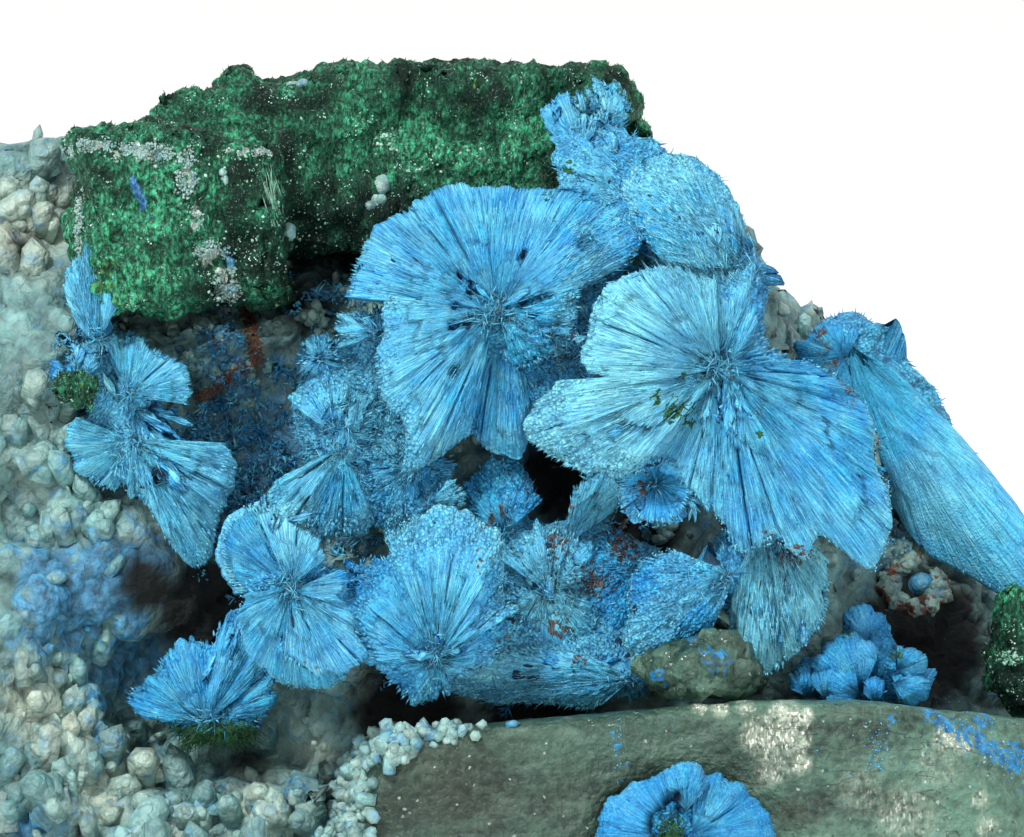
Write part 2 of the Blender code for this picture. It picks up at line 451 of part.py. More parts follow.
def quartz_point(name, foot, length, radius, tilt, lean, collection):
    """A six-sided prism with a pyramid end."""
    bm = bmesh.new()
    shaft = 0.68 * length
    middle = Matrix.Translation((0, 0, shaft / 2))
    bmesh.ops.create_cone(
        bm, cap_ends=True, segments=6, radius1=radius, radius2=radius * 0.94, depth=shaft, matrix=middle)
    top = max((f for f in bm.faces if len(f.verts) == 6), key=lambda f: f.calc_center_median().z)
    peak = bmesh.ops.poke(bm, faces=[top])["verts"][0]
    peak.co.z = length
    turn = Matrix.Rotation(math.radians(lean), 4, "X") @ Matrix.Rotation(math.radians(tilt), 4, "Y")
    bm.transform(Matrix.Scale(MM, 4) @ Matrix.Translation(foot) @ turn)
    return object_from(bm, name, collection)


def ledge_block(name, collection):
    """The long quartz crystal along the foot: a block trimmed by planes into flat facets."""
    bm = bmesh.new()
    block = Matrix.Translation(LEDGE_CENTRE) @ Matrix.Diagonal((*(2 * h for h in LEDGE_HALF_SIZE), 1))
    bmesh.ops.create_cube(bm, size=1, matrix=block)
    for point, outward in LEDGE_FACETS:
        parts = bm.verts[:] + bm.edges[:] + bm.faces[:]
        cut = bmesh.ops.bisect_plane(bm, geom=parts, plane_co=point, plane_no=outward, clear_outer=True)
        edges = [e for e in cut["geom_cut"] if isinstance(e, bmesh.types.BMEdge)]
        bmesh.ops.holes_fill(bm, edges=edges)
    bmesh.ops.remove_doubles(bm, verts=bm.verts, dist=0.01)
    bmesh.ops.recalc_face_normals(bm, faces=bm.faces)
    bm.transform(Matrix.Scale(MM, 4))
    obj = object_from(bm, name, collection)
    worn = obj.modifiers.new("worn_edges", "BEVEL")
    worn.width = 0.35 * MM
    worn.segments = 2
    worn.limit_method = "ANGLE"
    return obj


def room_for(obj, collection, triangles):
    """The piece with its surface moved out and simplified, to cut room for it in a neighbour."""
    bm = evaluated_bmesh(obj)
    bm.normal_update()
    for vert in bm.verts:
        vert.co += vert.normal * ROOM * MM
    name = f"room_for_{obj.name}"
    room = fused(object_from(bm, name, collection), ROOM_VOXEL, name, collection)
    thin_to(room, triangles * ROOM_TRIANGLE_SHARE)
    return applied(room, room.name, collection)


def boolean(obj, operation, collection):
    step = obj.modifiers.new(f"{operation.lower()}_{collection.name}", "BOOLEAN")
    step.operation = operation
    step.operand_type = "COLLECTION"
    step.collection = collection
    step.solver = "EXACT"


def largest_shell(bm):
    """Deletes every loose crumb but the largest connected surface."""
    left, shells = set(bm.verts), []
    while left:
        shell, front = set(), [next(iter(left))]
        while front:
            vert = front.pop()
            if vert not in shell:
                shell.add(vert)
                front += [edge.other_vert(vert) for edge in vert.link_edges]
        shells.append(shell)
        left -= shell
    biggest = max(shells, key=len)
    bmesh.ops.delete(bm, geom=[v for v in bm.verts if v not in biggest], context="VERTS")


def settled(obj, name, collection, finish):
    """The finished piece, leaned back on its base: one closed shell with its material."""
    bm = evaluated_bmesh(obj)
    bpy.data.objects.remove(obj, do_unlink=True)
    largest_shell(bm)
    bmesh.ops.triangulate(bm, faces=bm.faces)
    bm.transform(DISPLAY_TO_WORLD)
    made = object_from(bm, name, collection)
    made.data.materials.append(finish)
    return made


def spray_cluster(name, sprays, triangles, work, rooms):
    """Sprays that grew together, fused with the root mass they spread from."""
    whole = lumps_bmesh(ROOTS[name])
    for apex in {apex: None for apex, *_ in sprays.values()}:
        backing = min(b for a, b, *_ in sprays.values() if a == apex)
        place = Matrix.Scale(MM, 4) @ Matrix.Translation((apex[0], apex[1] + backing * 0.6, apex[2]))
        bmesh.ops.create_icosphere(whole, subdivisions=2, radius=backing * KNOT_SHARE, matrix=place)
    for label, (apex, backing, dome, rim) in sprays.items():
        piece = evaluated_bmesh(spray(f"{name}_{label}", apex, backing, dome, rim, work))
        mesh = bpy.data.meshes.new(label)
        piece.to_mesh(mesh)
        piece.free()
        whole.from_mesh(mesh)
    cluster = fused(object_from(whole, name, work), SPRAY_VOXEL, f"{name}_whole", work)
    room_for(cluster, rooms, triangles)
    thin_to(cluster, triangles)
    return cluster


def crust(name, blocks, triangles, work, sprays, rooms):
    """Blocky malachite: fused blocks with a granular relief, cut back where sprays grow on it."""
    mass = fused(object_from(blocks_bmesh(blocks), name, work), CRUST_VOXEL, f"{name}_whole", work)
    roughen(mass, "CLOUDS", 3.2, 1.6)
    roughen(mass, "VORONOI", 1.8, 0.8)
    mass = applied(mass, mass.name, work)
    room_for(mass, rooms, triangles)
    thin_to(mass, triangles)
    boolean(mass, "DIFFERENCE", sprays)
    return mass


def base_cutter(collection):
    """Everything below the level base, seen in the display frame."""
    bm = bmesh.new()
    below = DISPLAY_TO_WORLD.inverted() @ Matrix.Translation((0, 0, -BASE_DEPTH * MM / 2))
    bmesh.ops.create_cube(bm, size=1, matrix=below @ Matrix.Diagonal((0.2, 0.2, BASE_DEPTH * MM, 1)))
    return object_from(bm, "below_base", collection)


def build():
    clear_scene()
    specimen = new_collection("shattuckite_pseudomorph_after_malachite")
    work = new_collection("work", hidden=True)
    spray_rooms = new_collection("room_for_sprays", hidden=True)
    crust_rooms = new_collection("room_for_crust", hidden=True)
    ledge_room = new_collection("room_for_ledge", hidden=True)
    stub_room = new_collection("room_for_stub", hidden=True)
    growth = new_collection("matrix_crystals", hidden=True)
    foot = new_collection("foot", hidden=True)
    base_cutter(foot)

    blue = material("shattuckite", BLUE, 0.6)
    green = material("malachite", GREEN, 0.5)
    grey = material("quartz_matrix", QUARTZ, 0.55)
    smoky = material("quartz_ledge", LEDGE_QUARTZ, 0.35)

    for name, (sprays, triangles) in CLUSTERS.items():
        cluster = spray_cluster(name, sprays, triangles, work, spray_rooms)
        settled(cluster, name, specimen, blue)

    for name, (blocks, triangles) in CRUSTS.items():
        mass = crust(name, blocks, triangles, work, spray_rooms, crust_rooms)
        settled(mass, name, specimen, green)

    ledge = ledge_block("ledge", work)
    room_for(ledge, ledge_room, 300)
    for cutters in (spray_rooms, crust_rooms, foot):
        boolean(ledge, "DIFFERENCE", cutters)
    settled(ledge, "quartz_ledge", specimen, smoky)

    stub = quartz_point("stub", *STUB, work)
    room_for(stub, stub_room, 100)
    for cutters in (spray_rooms, ledge_room):
        boolean(stub, "DIFFERENCE", cutters)
    settled(stub, "quartz_stub", specimen, smoky)

    lumps = object_from(lumps_bmesh(MATRIX_LUMPS), "lumps", work)
    matrix = fused(lumps, MATRIX_VOXEL, "rock", work)
    roughen(matrix, "CLOUDS", 6.0, 3.4)
    roughen(matrix, "VORONOI", 3.4, 1.6)
    thin_to(matrix, MATRIX_TRIANGLES)
    for number, crystal in enumerate(MATRIX_CRYSTALS):
        quartz_point(f"crystal_{number}", *crystal, growth)
    boolean(matrix, "UNION", growth)
    for cutters in (spray_rooms, crust_rooms, ledge_room, stub_room):
        boolean(matrix, "DIFFERENCE", cutters)
    matrix = applied(matrix, "cut_rock", work)
    thin_to(matrix, CUT_MATRIX_TRIANGLES)
    boolean(matrix, "DIFFERENCE", foot)
    settled(matrix, "quartz_matrix", specimen, grey)


build()
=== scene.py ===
"""The looks of the shattuckite specimen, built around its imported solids: fibrous blue sprays, granular
malachite, drusy quartz rock and a translucent quartz ledge.

Shapes are worked out in the display frame, in millimetres: x to the right across the face, y away from the
viewer, z up. DISPLAY_TO_WORLD leans that frame back onto the base, as in the solids.

A part is (points, faces, sizes, values): points in display millimetres, faces as one run of point numbers,
the number of corners of each face, and the vertex values by label.
"""

import math

import bmesh
import bpy
import numpy as np
from mathutils import Matrix, Vector, noise
from mathutils.bvhtree import BVHTree


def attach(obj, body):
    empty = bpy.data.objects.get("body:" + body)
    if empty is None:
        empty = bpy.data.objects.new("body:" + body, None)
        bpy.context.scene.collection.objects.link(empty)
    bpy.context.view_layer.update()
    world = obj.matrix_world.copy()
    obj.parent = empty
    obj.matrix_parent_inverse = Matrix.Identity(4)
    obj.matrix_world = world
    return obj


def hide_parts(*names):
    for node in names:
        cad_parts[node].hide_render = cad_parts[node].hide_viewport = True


MM = 0.001
LEAN = math.radians(10)
BASE_SHIFT = Vector((0.0, -4.0, 0.0))
DISPLAY_TO_WORLD = Matrix.Rotation(-LEAN, 4, "X") @ Matrix.Translation(BASE_SHIFT * MM)
# Looks from the front start at this depth, in millimetres, and go straight in.
LOOK_FROM = -60.0
LOOK_WAY = Vector((0.0, 1.0, 0.0))

# The photograph's framing: millimetres across the view at the depth of the blue face.
VIEW_WIDTH = 46.08
VIEW_CENTRE_HEIGHT = 25.58
FACE_DEPTH = -8.0
CAMERA_DISTANCE = 400.0
SENSOR = 36.0

# Soft lamps: name, place in metres, size in metres, power in watts. They point at LAMP_AIM.
LIGHTS = (
    ("key", (-0.14, -0.20, 0.34), 0.06, 1.50),
    ("fill", (0.30, -0.20, 0.16), 0.20, 0.10),
)
LAMP_AIM = Vector((0, 0, 0.022))
WORLD_STRENGTH = 0.92
FLOOR_COLOUR = (0.93, 0.93, 0.92)
FLOOR_HALF = 3.0

# Vertex values that the materials read: tone, along a fibre or a bundle, pale, rust, a value for stain and
# shade (blue stain on the quartz and malachite; on the blue fibres near black, painted shade in pits,
# clefts, cracks and plugs, and the dark of some needles and of each spray's heart), dark (bare rock on the
# blue fibres, three spots of it painted shade; darker malachite; smoke in the clear quartz; painted shade in
# the rock's hollows and between its grains), olive, grain (velvety tips), across and reach (the place on a
# spray, in millimetres).
LABELS = ("tone", "along", "pale", "rust", "core", "dark", "olive", "grain", "across", "reach")
# The value across of a loose fibre is drawn from this span, so that no two of them are streaked alike.
ANYWHERE = (0, 50)

# Factors that scatter whole numbers and the middles of packed grains over 0 to 1.
HASH_STEPS = (12.9898, 78.233)
HASH_SCALE = 43758.5453
GRAIN_HASH_STEPS = (12.99, 78.23, 37.7)
GRAIN_HASH_SCALE = 43758.5

# Needles have three sides, crumbs are squashed octahedra, and crystals have six sides and a point.
NEEDLE_FACES = (0, 2, 1, 0, 3, 2, 2, 3, 1, 1, 3, 0)
NEEDLE_RIDGE = 1.3
CRUMB_FACES = (0, 1, 4, 1, 2, 4, 2, 3, 4, 3, 0, 4, 1, 0, 5, 2, 1, 5, 3, 2, 5, 0, 3, 5)
CRYSTAL_FOOT_FACE = (5, 4, 3, 2, 1, 0)
CRYSTAL_SIDES = 6
CRYSTAL_TAPER = 0.93

# The sheets of the blue sprays: columns along the rim and rows out from the apex, in millimetres.
COLUMN_STEP = 0.067
ROW_STEP = 0.18
BACK_ROWS = (0.96, 0.75, 0.5, 0.25)
RIM_THINNING = 0.5
# Rows nearer the apex than these shares of the radius have a quarter, and a half, of the columns.
QUARTER_WITHIN = 0.2
HALF_WITHIN = 0.45
# Widths at the rim and heights of a sheet's blades, the strands in them and single hairs, in millimetres.
BLADE_WIDTH = 1.15
STRAND_WIDTH = 0.20
HAIR_WIDTH = 0.085
BLADE_TILT = 0.34
BLADE_STEP = 0.14
STRAND_HEIGHT = 0.060
HAIR_HEIGHT = 0.030
SHINGLE_HEIGHT = 0.06
CREVICE_DEPTH = 0.30
PIT_DEPTH = 0.9
# Tiers of blades on a sheet, each over the one before: where they end, as least and most shares of the
# radius, how many blades wide one is, how far from the apex its fibres may start, and how high it stands.
TIERS = ((0.80, 1.30, 1.0, 0.07, 0.0), (0.42, 0.92, 0.9, 0.16, 0.12), (0.12, 0.50, 0.7, 0.22, 0.14))
# Seeds of the tiers, and of a sheet's own fibres, tips and needles, are this far apart.
TIER_SEED_STEP = 300
SPRAY_SEED_STEP = 17
# The middle tone that the soft sprays keep to.
MIDDLE_TONE = 0.52

# A spray is (apex, backing, dome, rim). Its fibres run from the apex out to the rim, whose points are
# (degrees anticlockwise from the right, radius, how far the rim stands toward the viewer). Dome
# swells the middle of the sheet toward the viewer, and backing is its thickness.
SPRAYS = {
    "shattuckite_main_rosettes": {
        "crown": ((-0.7, -7.0, 30.4), 1.6, 0.5, (
            (14, 4.8, 0.3), (20, 6.8, 0.3), (30, 7.7, -0.2), (49, 7.0, -1.6), (72, 6.1, -2.8),
            (93, 6.0, -3.4), (123, 6.3, -3.0), (142, 6.7, -2.3), (160, 7.0, -1.6), (174, 6.9, -1.0))),
        "west_lobe": ((-0.8, -7.3, 30.3), 1.5, 0.8, (
            (170, 5.2, -0.7), (189, 5.1, -0.2), (201, 6.0, 0.2), (217, 6.3, 0.3), (232, 6.5, 0.2),
            (240, 8.3, -0.3), (249, 7.3, -0.5), (259, 5.8, -0.8))),
        "south_lobe": ((-0.6, -6.6, 30.3), 1.4, 0.4, (
            (254, 5.6, -0.8), (267, 6.2, -0.8), (280, 6.5, -1.0), (292, 4.6, -1.2))),
        "inner_lobe": ((-0.6, -7.2, 30.3), 1.3, 0.5, (
            (285, 2.9, -0.3), (320, 3.2, 0.2), (350, 3.6, 0.4), (377, 4.0, 0.4))),
        "east_crown": ((9.3, -9.2, 27.8), 1.6, 0.7, (
            (92, 4.0, -0.6), (108, 4.7, -0.4), (121, 5.6, -0.2), (146, 6.4, 0.2), (163, 6.3, 0.2),
            (190, 5.9, 0.2))),
        "east_shoulder": ((9.3, -9.0, 27.7), 1.7, 0.9, (
            (183, 7.4, 0.1), (189, 8.3, 0.1), (197, 9.3, -0.2), (211, 8.4, -0.4), (225, 6.9, -0.5),
            (236, 5.6, -0.8))),
        "east_skirt": ((9.3, -8.8, 27.7), 1.5, 0.6, (
            (230, 5.4, -0.7), (245, 5.3, -0.6), (258, 6.0, -0.5), (273, 7.0, -0.4))),
        "east_wing": ((9.5, -9.3, 27.8), 1.6, 0.8, (
            (266, 6.6, 0.0), (275, 8.5, -0.1), (286, 8.2, 0.1), (293, 9.4, 0.1), (300, 8.8, 0.1),
            (306, 11.3, -0.2), (315, 10.6, -0.3), (325, 9.2, -0.5), (331, 7.9, -0.7), (342, 7.1, -0.9),
            (353, 5.8, -1.1), (368, 3.9, -1.2))),
        "east_tuft": ((9.3, -8.9, 27.9), 1.5, 0.3, (
            (2, 3.4, -1.2), (22, 2.7, -1.0), (45, 3.0, -1.0), (59, 3.7, -1.1), (71, 5.1, -1.4),
            (85, 4.3, -0.8), (98, 4.2, -0.5))),
        "cup": ((6.5, -7.0, 22.7), 0.7, 0.0, (
            (0, 1.6, 1.3), (60, 1.3, 1.6), (120, 1.3, 1.6), (180, 1.7, 1.3), (240, 1.9, 0.9),
            (300, 1.9, 0.9), (360, 1.6, 1.3))),
        "summit_slope": ((10.1, -7.2, 32.3), 2.0, 1.1, (
            (88, 2.6, -1.2), (109, 5.0, -1.2), (128, 6.4, -0.9), (146, 6.2, -0.2), (158, 5.0, 0.5),
            (177, 3.3, 0.6))),
        "summit_back": ((10.6, -6.0, 31.6), 2.0, 0.6, (
            (60, 0.9, -0.4), (84, 2.2, -0.8), (99, 4.6, -1.6), (113, 6.8, -2.2), (126, 6.9, -1.8))),
        "summit_face": ((5.9, -4.9, 35.7), 2.4, 0.8, (
            (74, 1.9, -1.0), (100, 2.9, -1.6), (125, 4.2, -2.0), (150, 4.6, -1.3), (172, 4.1, -0.6),
            (196, 3.0, 0.0))),
        "summit_blade": ((3.2, -3.4, 37.4), 1.2, 0.2, (
            (84, 2.0, -0.6), (106, 3.1, -0.7), (128, 3.0, -0.6), (150, 1.8, -0.4))),
        "summit_tip": ((4.7, -2.8, 38.6), 1.3, 0.2, (
            (50, 1.5, -0.8), (80, 2.3, -1.0), (112, 2.6, -1.0), (140, 1.7, -0.6))),
    },
    "shattuckite_lower_rosettes": {
        "bud_leaf": ((-9.9, -10.2, 18.0), 1.2, -0.3, (
            (98, 3.4, 0.6), (112, 4.0, 0.9), (130, 4.1, 1.0), (152, 3.5, 0.9), (184, 2.2, 0.5))),
        "bud_crown": ((-9.9, -10.4, 18.0), 1.2, 0.4, (
            (40, 2.2, 0.5), (73, 2.8, 0.7), (95, 3.2, 0.8), (114, 3.6, 0.7))),
        "bud_bowl": ((-9.9, -10.3, 18.0), 1.4, 0.9, (
            (186, 2.3, 0.3), (202, 2.6, 0.1), (228, 3.3, -0.5), (256, 4.2, -1.2), (280, 4.8, -1.6),
            (302, 4.9, -1.6))),
        "bud_fan": ((-9.8, -10.6, 17.9), 1.3, 0.5, (
            (262, 3.3, 0.2), (288, 3.9, 0.5), (313, 4.5, 0.4), (328, 3.7, 0.3), (350, 2.5, 0.2),
            (385, 2.6, 0.0))),
        "tulip_fan": ((-3.4, -10.6, 14.8), 1.6, 0.9, (
            (30, 4.2, -0.9), (48, 4.5, -0.6), (59, 6.0, -0.4), (70, 6.5, -0.4), (84, 6.8, -0.3),
            (98, 6.6, -0.2), (113, 6.1, -0.2))),
        "tulip_side": ((-3.5, -10.3, 14.8), 1.6, 0.9, (
            (108, 5.4, -0.5), (122, 5.3, -0.5), (143, 5.2, -0.6), (165, 4.0, -0.7), (186, 3.2, -0.8))),
        "tulip_foot": ((-3.3, -10.5, 14.8), 1.5, 0.4, (
            (182, 3.1, -0.8), (211, 2.6, -0.8), (235, 2.5, -1.0), (278, 1.7, -0.9), (335, 1.8, -0.6),
            (392, 3.6, -0.6))),
    },
    "shattuckite_left_rosettes": {
        "upper_fan": ((-17.4, -6.0, 26.6), 1.4, 0.3, (
            (-8, 2.9, 0.2), (22, 3.1, 0.3), (50, 2.7, 0.3), (86, 2.7, 0.2), (114, 3.0, 0.0))),
        "hanging_tongue": ((-17.1, -5.8, 24.7), 1.6, 1.0, (
            (262, 2.6, -0.4), (281, 3.4, -0.3), (288, 5.4, -0.6), (295, 6.7, -1.2), (303, 6.6, -1.4),
            (315, 5.6, -0.8), (330, 5.1, -0.3), (345, 5.0, -0.2), (357, 4.2, -0.2))),
        "outer_fan": ((-17.1, -5.2, 24.6), 1.5, 0.5, (
            (158, 3.0, -0.8), (172, 3.3, -1.0), (208, 3.1, -1.2), (243, 2.8, -1.2), (264, 2.2, -1.0))),
        "side_tuft": ((-18.2, -5.0, 27.0), 1.6, 0.4, (
            (112, 2.6, -0.6), (140, 2.6, -0.8), (168, 2.5, -0.8), (196, 2.0, -0.6))),
        "plume": ((-18.5, -5.2, 28.4), 1.4, 0.4, (
            (80, 4.2, -0.4), (92, 4.7, -0.4), (104, 4.4, -0.5), (120, 3.2, -0.6))),
    },
    "shattuckite_middle_sprays": {
        "small_fan": ((-8.0, -5.2, 24.9), 1.5, 0.4, (
            (-12, 2.4, -0.4), (35, 2.4, -0.2), (71, 2.4, -0.2), (115, 2.6, -0.3), (148, 2.5, -0.4))),
        "curtain": ((-7.6, -5.9, 24.3), 1.7, 0.8, (
            (205, 3.6, -0.2), (214, 4.3, 0.0), (227, 4.9, 0.2), (249, 4.4, 0.2), (273, 4.2, 0.0),
            (292, 3.9, -0.3))),
        "stained_face": ((-4.6, -5.0, 23.4), 1.8, 0.7, (
            (172, 2.6, -0.2), (222, 3.2, -0.2), (262, 3.3, -0.2), (300, 2.9, -0.4), (340, 2.3, -0.5),
            (375, 2.0, -0.6))),
        "bract": ((-3.9, -6.0, 21.6), 1.0, 0.2, (
            (-6, 1.7, 0.3), (18, 2.0, 0.5), (48, 1.7, 0.5))),
        "knob": ((-8.7, -4.2, 28.3), 1.6, 0.9, (
            (0, 1.3, -0.9), (72, 1.1, -0.9), (144, 1.2, -0.9), (216, 1.2, -0.9), (288, 1.1, -0.9),
            (360, 1.3, -0.9))),
        "ear": ((-6.0, -5.0, 29.4), 1.3, 0.5, (
            (-10, 1.4, -0.2), (40, 1.2, -0.3), (110, 1.3, -0.3), (165, 2.2, -0.2), (200, 1.9, -0.3))),
    },
    "shattuckite_hollow_sprays": {
        "blue_slab": ((-0.3, -4.4, 20.3), 2.0, 0.6, (
            (42, 2.4, -0.3), (66, 3.0, -0.2), (92, 3.6, -0.2), (120, 3.3, -0.3), (150, 2.2, -0.3))),
        "rusty_spray": ((1.6, -5.2, 17.8), 1.6, 0.5, (
            (5, 2.3, -0.2), (40, 2.8, 0.0), (75, 3.0, 0.1), (110, 2.9, 0.1), (148, 2.5, -0.2))),
        "rusty_skirt": ((1.5, -5.4, 18.0), 1.5, 0.4, (
            (205, 2.0, -0.3), (245, 2.6, -0.2), (278, 3.6, 0.0), (305, 3.3, 0.0), (340, 2.6, -0.2))),
        "slant_slab": ((2.3, -4.4, 19.8), 1.6, 0.4, (
            (34, 3.6, -0.4), (48, 4.9, -0.3), (62, 4.6, -0.3), (80, 3.0, -0.4))),
        "dark_slab": ((5.9, -4.8, 18.9), 2.0, 0.6, (
            (120, 2.2, -0.2), (165, 2.8, -0.1), (205, 3.4, 0.0), (240, 3.8, -0.1), (275, 3.6, -0.3),
            (310, 2.3, -0.5))),
        "seam": ((5.4, -6.4, 13.8), 1.8, 0.5, (
            (150, 2.6, -0.2), (163, 5.2, 0.2), (176, 8.4, 0.7), (184, 8.2, 0.6), (196, 4.2, 0.2),
            (220, 2.4, -0.2))),
    },
    "shattuckite_hanging_fringe": {
        "west_pad": ((10.0, -7.9, 18.6), 1.9, 1.0, (
            (158, 3.2, -0.2), (170, 4.2, -0.1), (190, 4.9, 0.1), (206, 5.4, 0.0), (220, 6.0, -0.2),
            (236, 5.6, -0.6), (250, 3.6, -0.8))),
        "fringe": ((11.3, -6.6, 21.6), 1.9, 1.0, (
            (250, 4.8, 0.0), (260, 7.3, 0.1), (273, 7.8, 0.1), (286, 6.7, 0.0), (298, 6.2, -0.2),
            (308, 5.2, -0.5), (322, 4.0, -0.8))),
    },
    "shattuckite_right_slope": {
        "long_slope": ((15.6, 3.0, 29.0), 2.6, 1.1, (
            (272, 3.2, -0.6), (280, 5.2, -0.4), (288, 9.6, -0.1), (295, 11.6, 0.3), (303, 14.2, 1.0),
            (310, 15.6, 1.0), (314, 12.6, 0.4), (319, 8.4, -0.2), (324, 5.4, -0.4), (330, 3.0, -0.4))),
        "peak": ((15.4, 2.6, 28.4), 2.4, 0.5, (
            (60, 1.4, -0.6), (100, 1.6, -0.8), (150, 2.2, -0.8), (200, 2.6, -0.8), (240, 2.8, -0.6),
            (285, 3.2, -0.4))),
    },
    "shattuckite_nook_buds": {
        "west_bud": ((13.6, -5.0, 13.9), 1.6, 0.9, (
            (0, 1.5, -0.7), (90, 1.3, -0.7), (180, 1.4, -0.7), (270, 1.5, -0.7), (360, 1.5, -0.7))),
        "middle_bud": ((15.6, -4.7, 14.6), 1.8, 1.0, (
            (0, 1.6, -0.8), (60, 1.8, -0.8), (120, 1.7, -0.9), (180, 1.5, -0.8), (240, 1.8, -0.8),
            (300, 1.8, -0.8), (360, 1.6, -0.8))),
        "east_bud": ((17.7, -4.4, 13.9), 1.8, 0.9, (
            (0, 1.4, -0.8), (72, 1.6, -0.8), (144, 1.4, -0.8), (216, 1.6, -0.8), (288, 1.6, -0.8),
            (360, 1.4, -0.8))),
        "high_bud": ((16.6, -3.6, 16.2), 1.4, 0.7, (
            (0, 1.2, -0.7), (120, 1.1, -0.7), (240, 1.3, -0.7), (360, 1.2, -0.7))),
    },
    "shattuckite_corner_spray": {
        "split_fan": ((-13.9, -5.2, 11.8), 1.7, 0.7, (
            (38, 3.6, -0.3), (50, 4.6, -0.2), (64, 5.5, -0.1), (79, 5.3, -0.2), (88, 3.9, -0.5),
            (100, 4.0, -0.4), (118, 3.8, -0.5), (142, 3.4, -0.7), (164, 4.0, -0.9), (178, 3.0, -1.0))),
        "root": ((-13.4, -5.2, 12.0), 1.6, 0.4, (
            (172, 2.6, -0.5), (205, 1.8, -0.4), (270, 1.3, -0.4), (335, 1.9, -0.4), (402, 3.4, -0.3))),
    },
    "shattuckite_ledge_rosette": {
        "left_half": ((7.4, -13.0, 7.0), 1.5, 0.9, (
            (86, 2.6, -0.8), (112, 2.7, -0.8), (142, 3.0, -0.9), (180, 3.4, -1.0), (214, 3.2, -1.0),
            (262, 2.6, -0.8))),
        "right_half": ((8.0, -13.1, 7.1), 1.5, 1.0, (
            (-90, 2.6, -0.8), (-52, 3.2, -1.0), (-16, 3.4, -1.0), (18, 3.0, -0.9), (52, 2.7, -0.9),
            (88, 2.5, -0.8))),
    },
}
# The nook's buds as rounded petals: (x, y, z of the foot, first angle, last angle, length, dome).
PETALS = (
    (13.4, -5.2, 12.9, 60, 150, 1.5, 0.7), (14.2, -5.8, 12.8, 40, 130, 1.7, 0.8),
    (15.9, -5.4, 13.2, 70, 165, 2.9, 1.0), (15.7, -5.9, 13.0, 100, 200, 1.9, 0.9),
    (16.6, -5.6, 14.2, 100, 190, 1.9, 0.7), (16.2, -4.4, 15.4, 60, 160, 1.9, 0.6),
    (17.4, -5.9, 14.2, -30, 90, 1.5, 0.8), (17.2, -6.0, 13.6, -60, 30, 1.8, 0.9),
    (17.6, -5.6, 12.8, 20, 110, 1.6, 0.8), (14.6, -5.6, 13.9, 90, 180, 1.3, 0.6),
    (18.2, -5.2, 13.4, 0, 80, 1.3, 0.7), (16.4, -6.0, 12.7, 50, 140, 1.2, 0.7),
)
PETAL_BACKING = 0.7
# One more petal on top of the ledge's rosette, and how much longer and nearer its rays are than the solid's.
ARCH_TOP = (7.7, -13.6, 8.2, 48, 132, 2.3, 0.5)
ROSETTE_REACH = 1.14
ROSETTE_STAND = 0.2
# The upright plume beside the malachite slab, as a spray.
PILLAR = ((-18.6, -7.4, 28.9), 1.1, 0.4, (
    (64, 1.9, 0.0), (76, 3.3, 0.4), (90, 4.0, 0.7), (104, 4.2, 0.6), (118, 3.4, 0.4), (134, 1.8, 0.0)))

# How each spray looks: pale is how light its fibres are, grain how much of it, from the rim in, is velvety
# tips seen end on, mess how far fibres stray, silk how long and even they lie, edge how pale its rim is,
# soft how much of its relief is worn away, and bright how much lighter its fibres are, darker below nought,
# partly painted light that lifts sprays lying in shade. Where a spray's row says None or ends early, its
# node's row holds, and then PLAIN.
STYLE_KEYS = ("pale", "grain", "mess", "silk", "edge", "soft", "bright")
PLAIN = dict(zip(STYLE_KEYS, (0.25, 0.25, 0.25, 0.5, 0.12, 0.0, 0.0)))
NODE_STYLES = {
    "shattuckite_nook_buds": (0.05, 0.30, 0.05, 0.9, None, 0.75, -0.22),
    "shattuckite_hollow_sprays": (0.55, 0.35, 0.45, None, None, None, 0.2),
    "shattuckite_middle_sprays": (0.60, 0.40, 0.35, None, None, None, 0.2),
    "shattuckite_left_rosettes": (0.50, 0.15, 0.20, 0.8, None, None, 0.26),
    "shattuckite_corner_spray": (0.15, 0.20, 0.25, 0.8),
    "shattuckite_ledge_rosette": (0.05, 0.30, 0.06, None, None, 0.55, -0.16),
    "shattuckite_right_slope": (0.35, 0.10, 0.04, 0.9, None, 0.6),
}
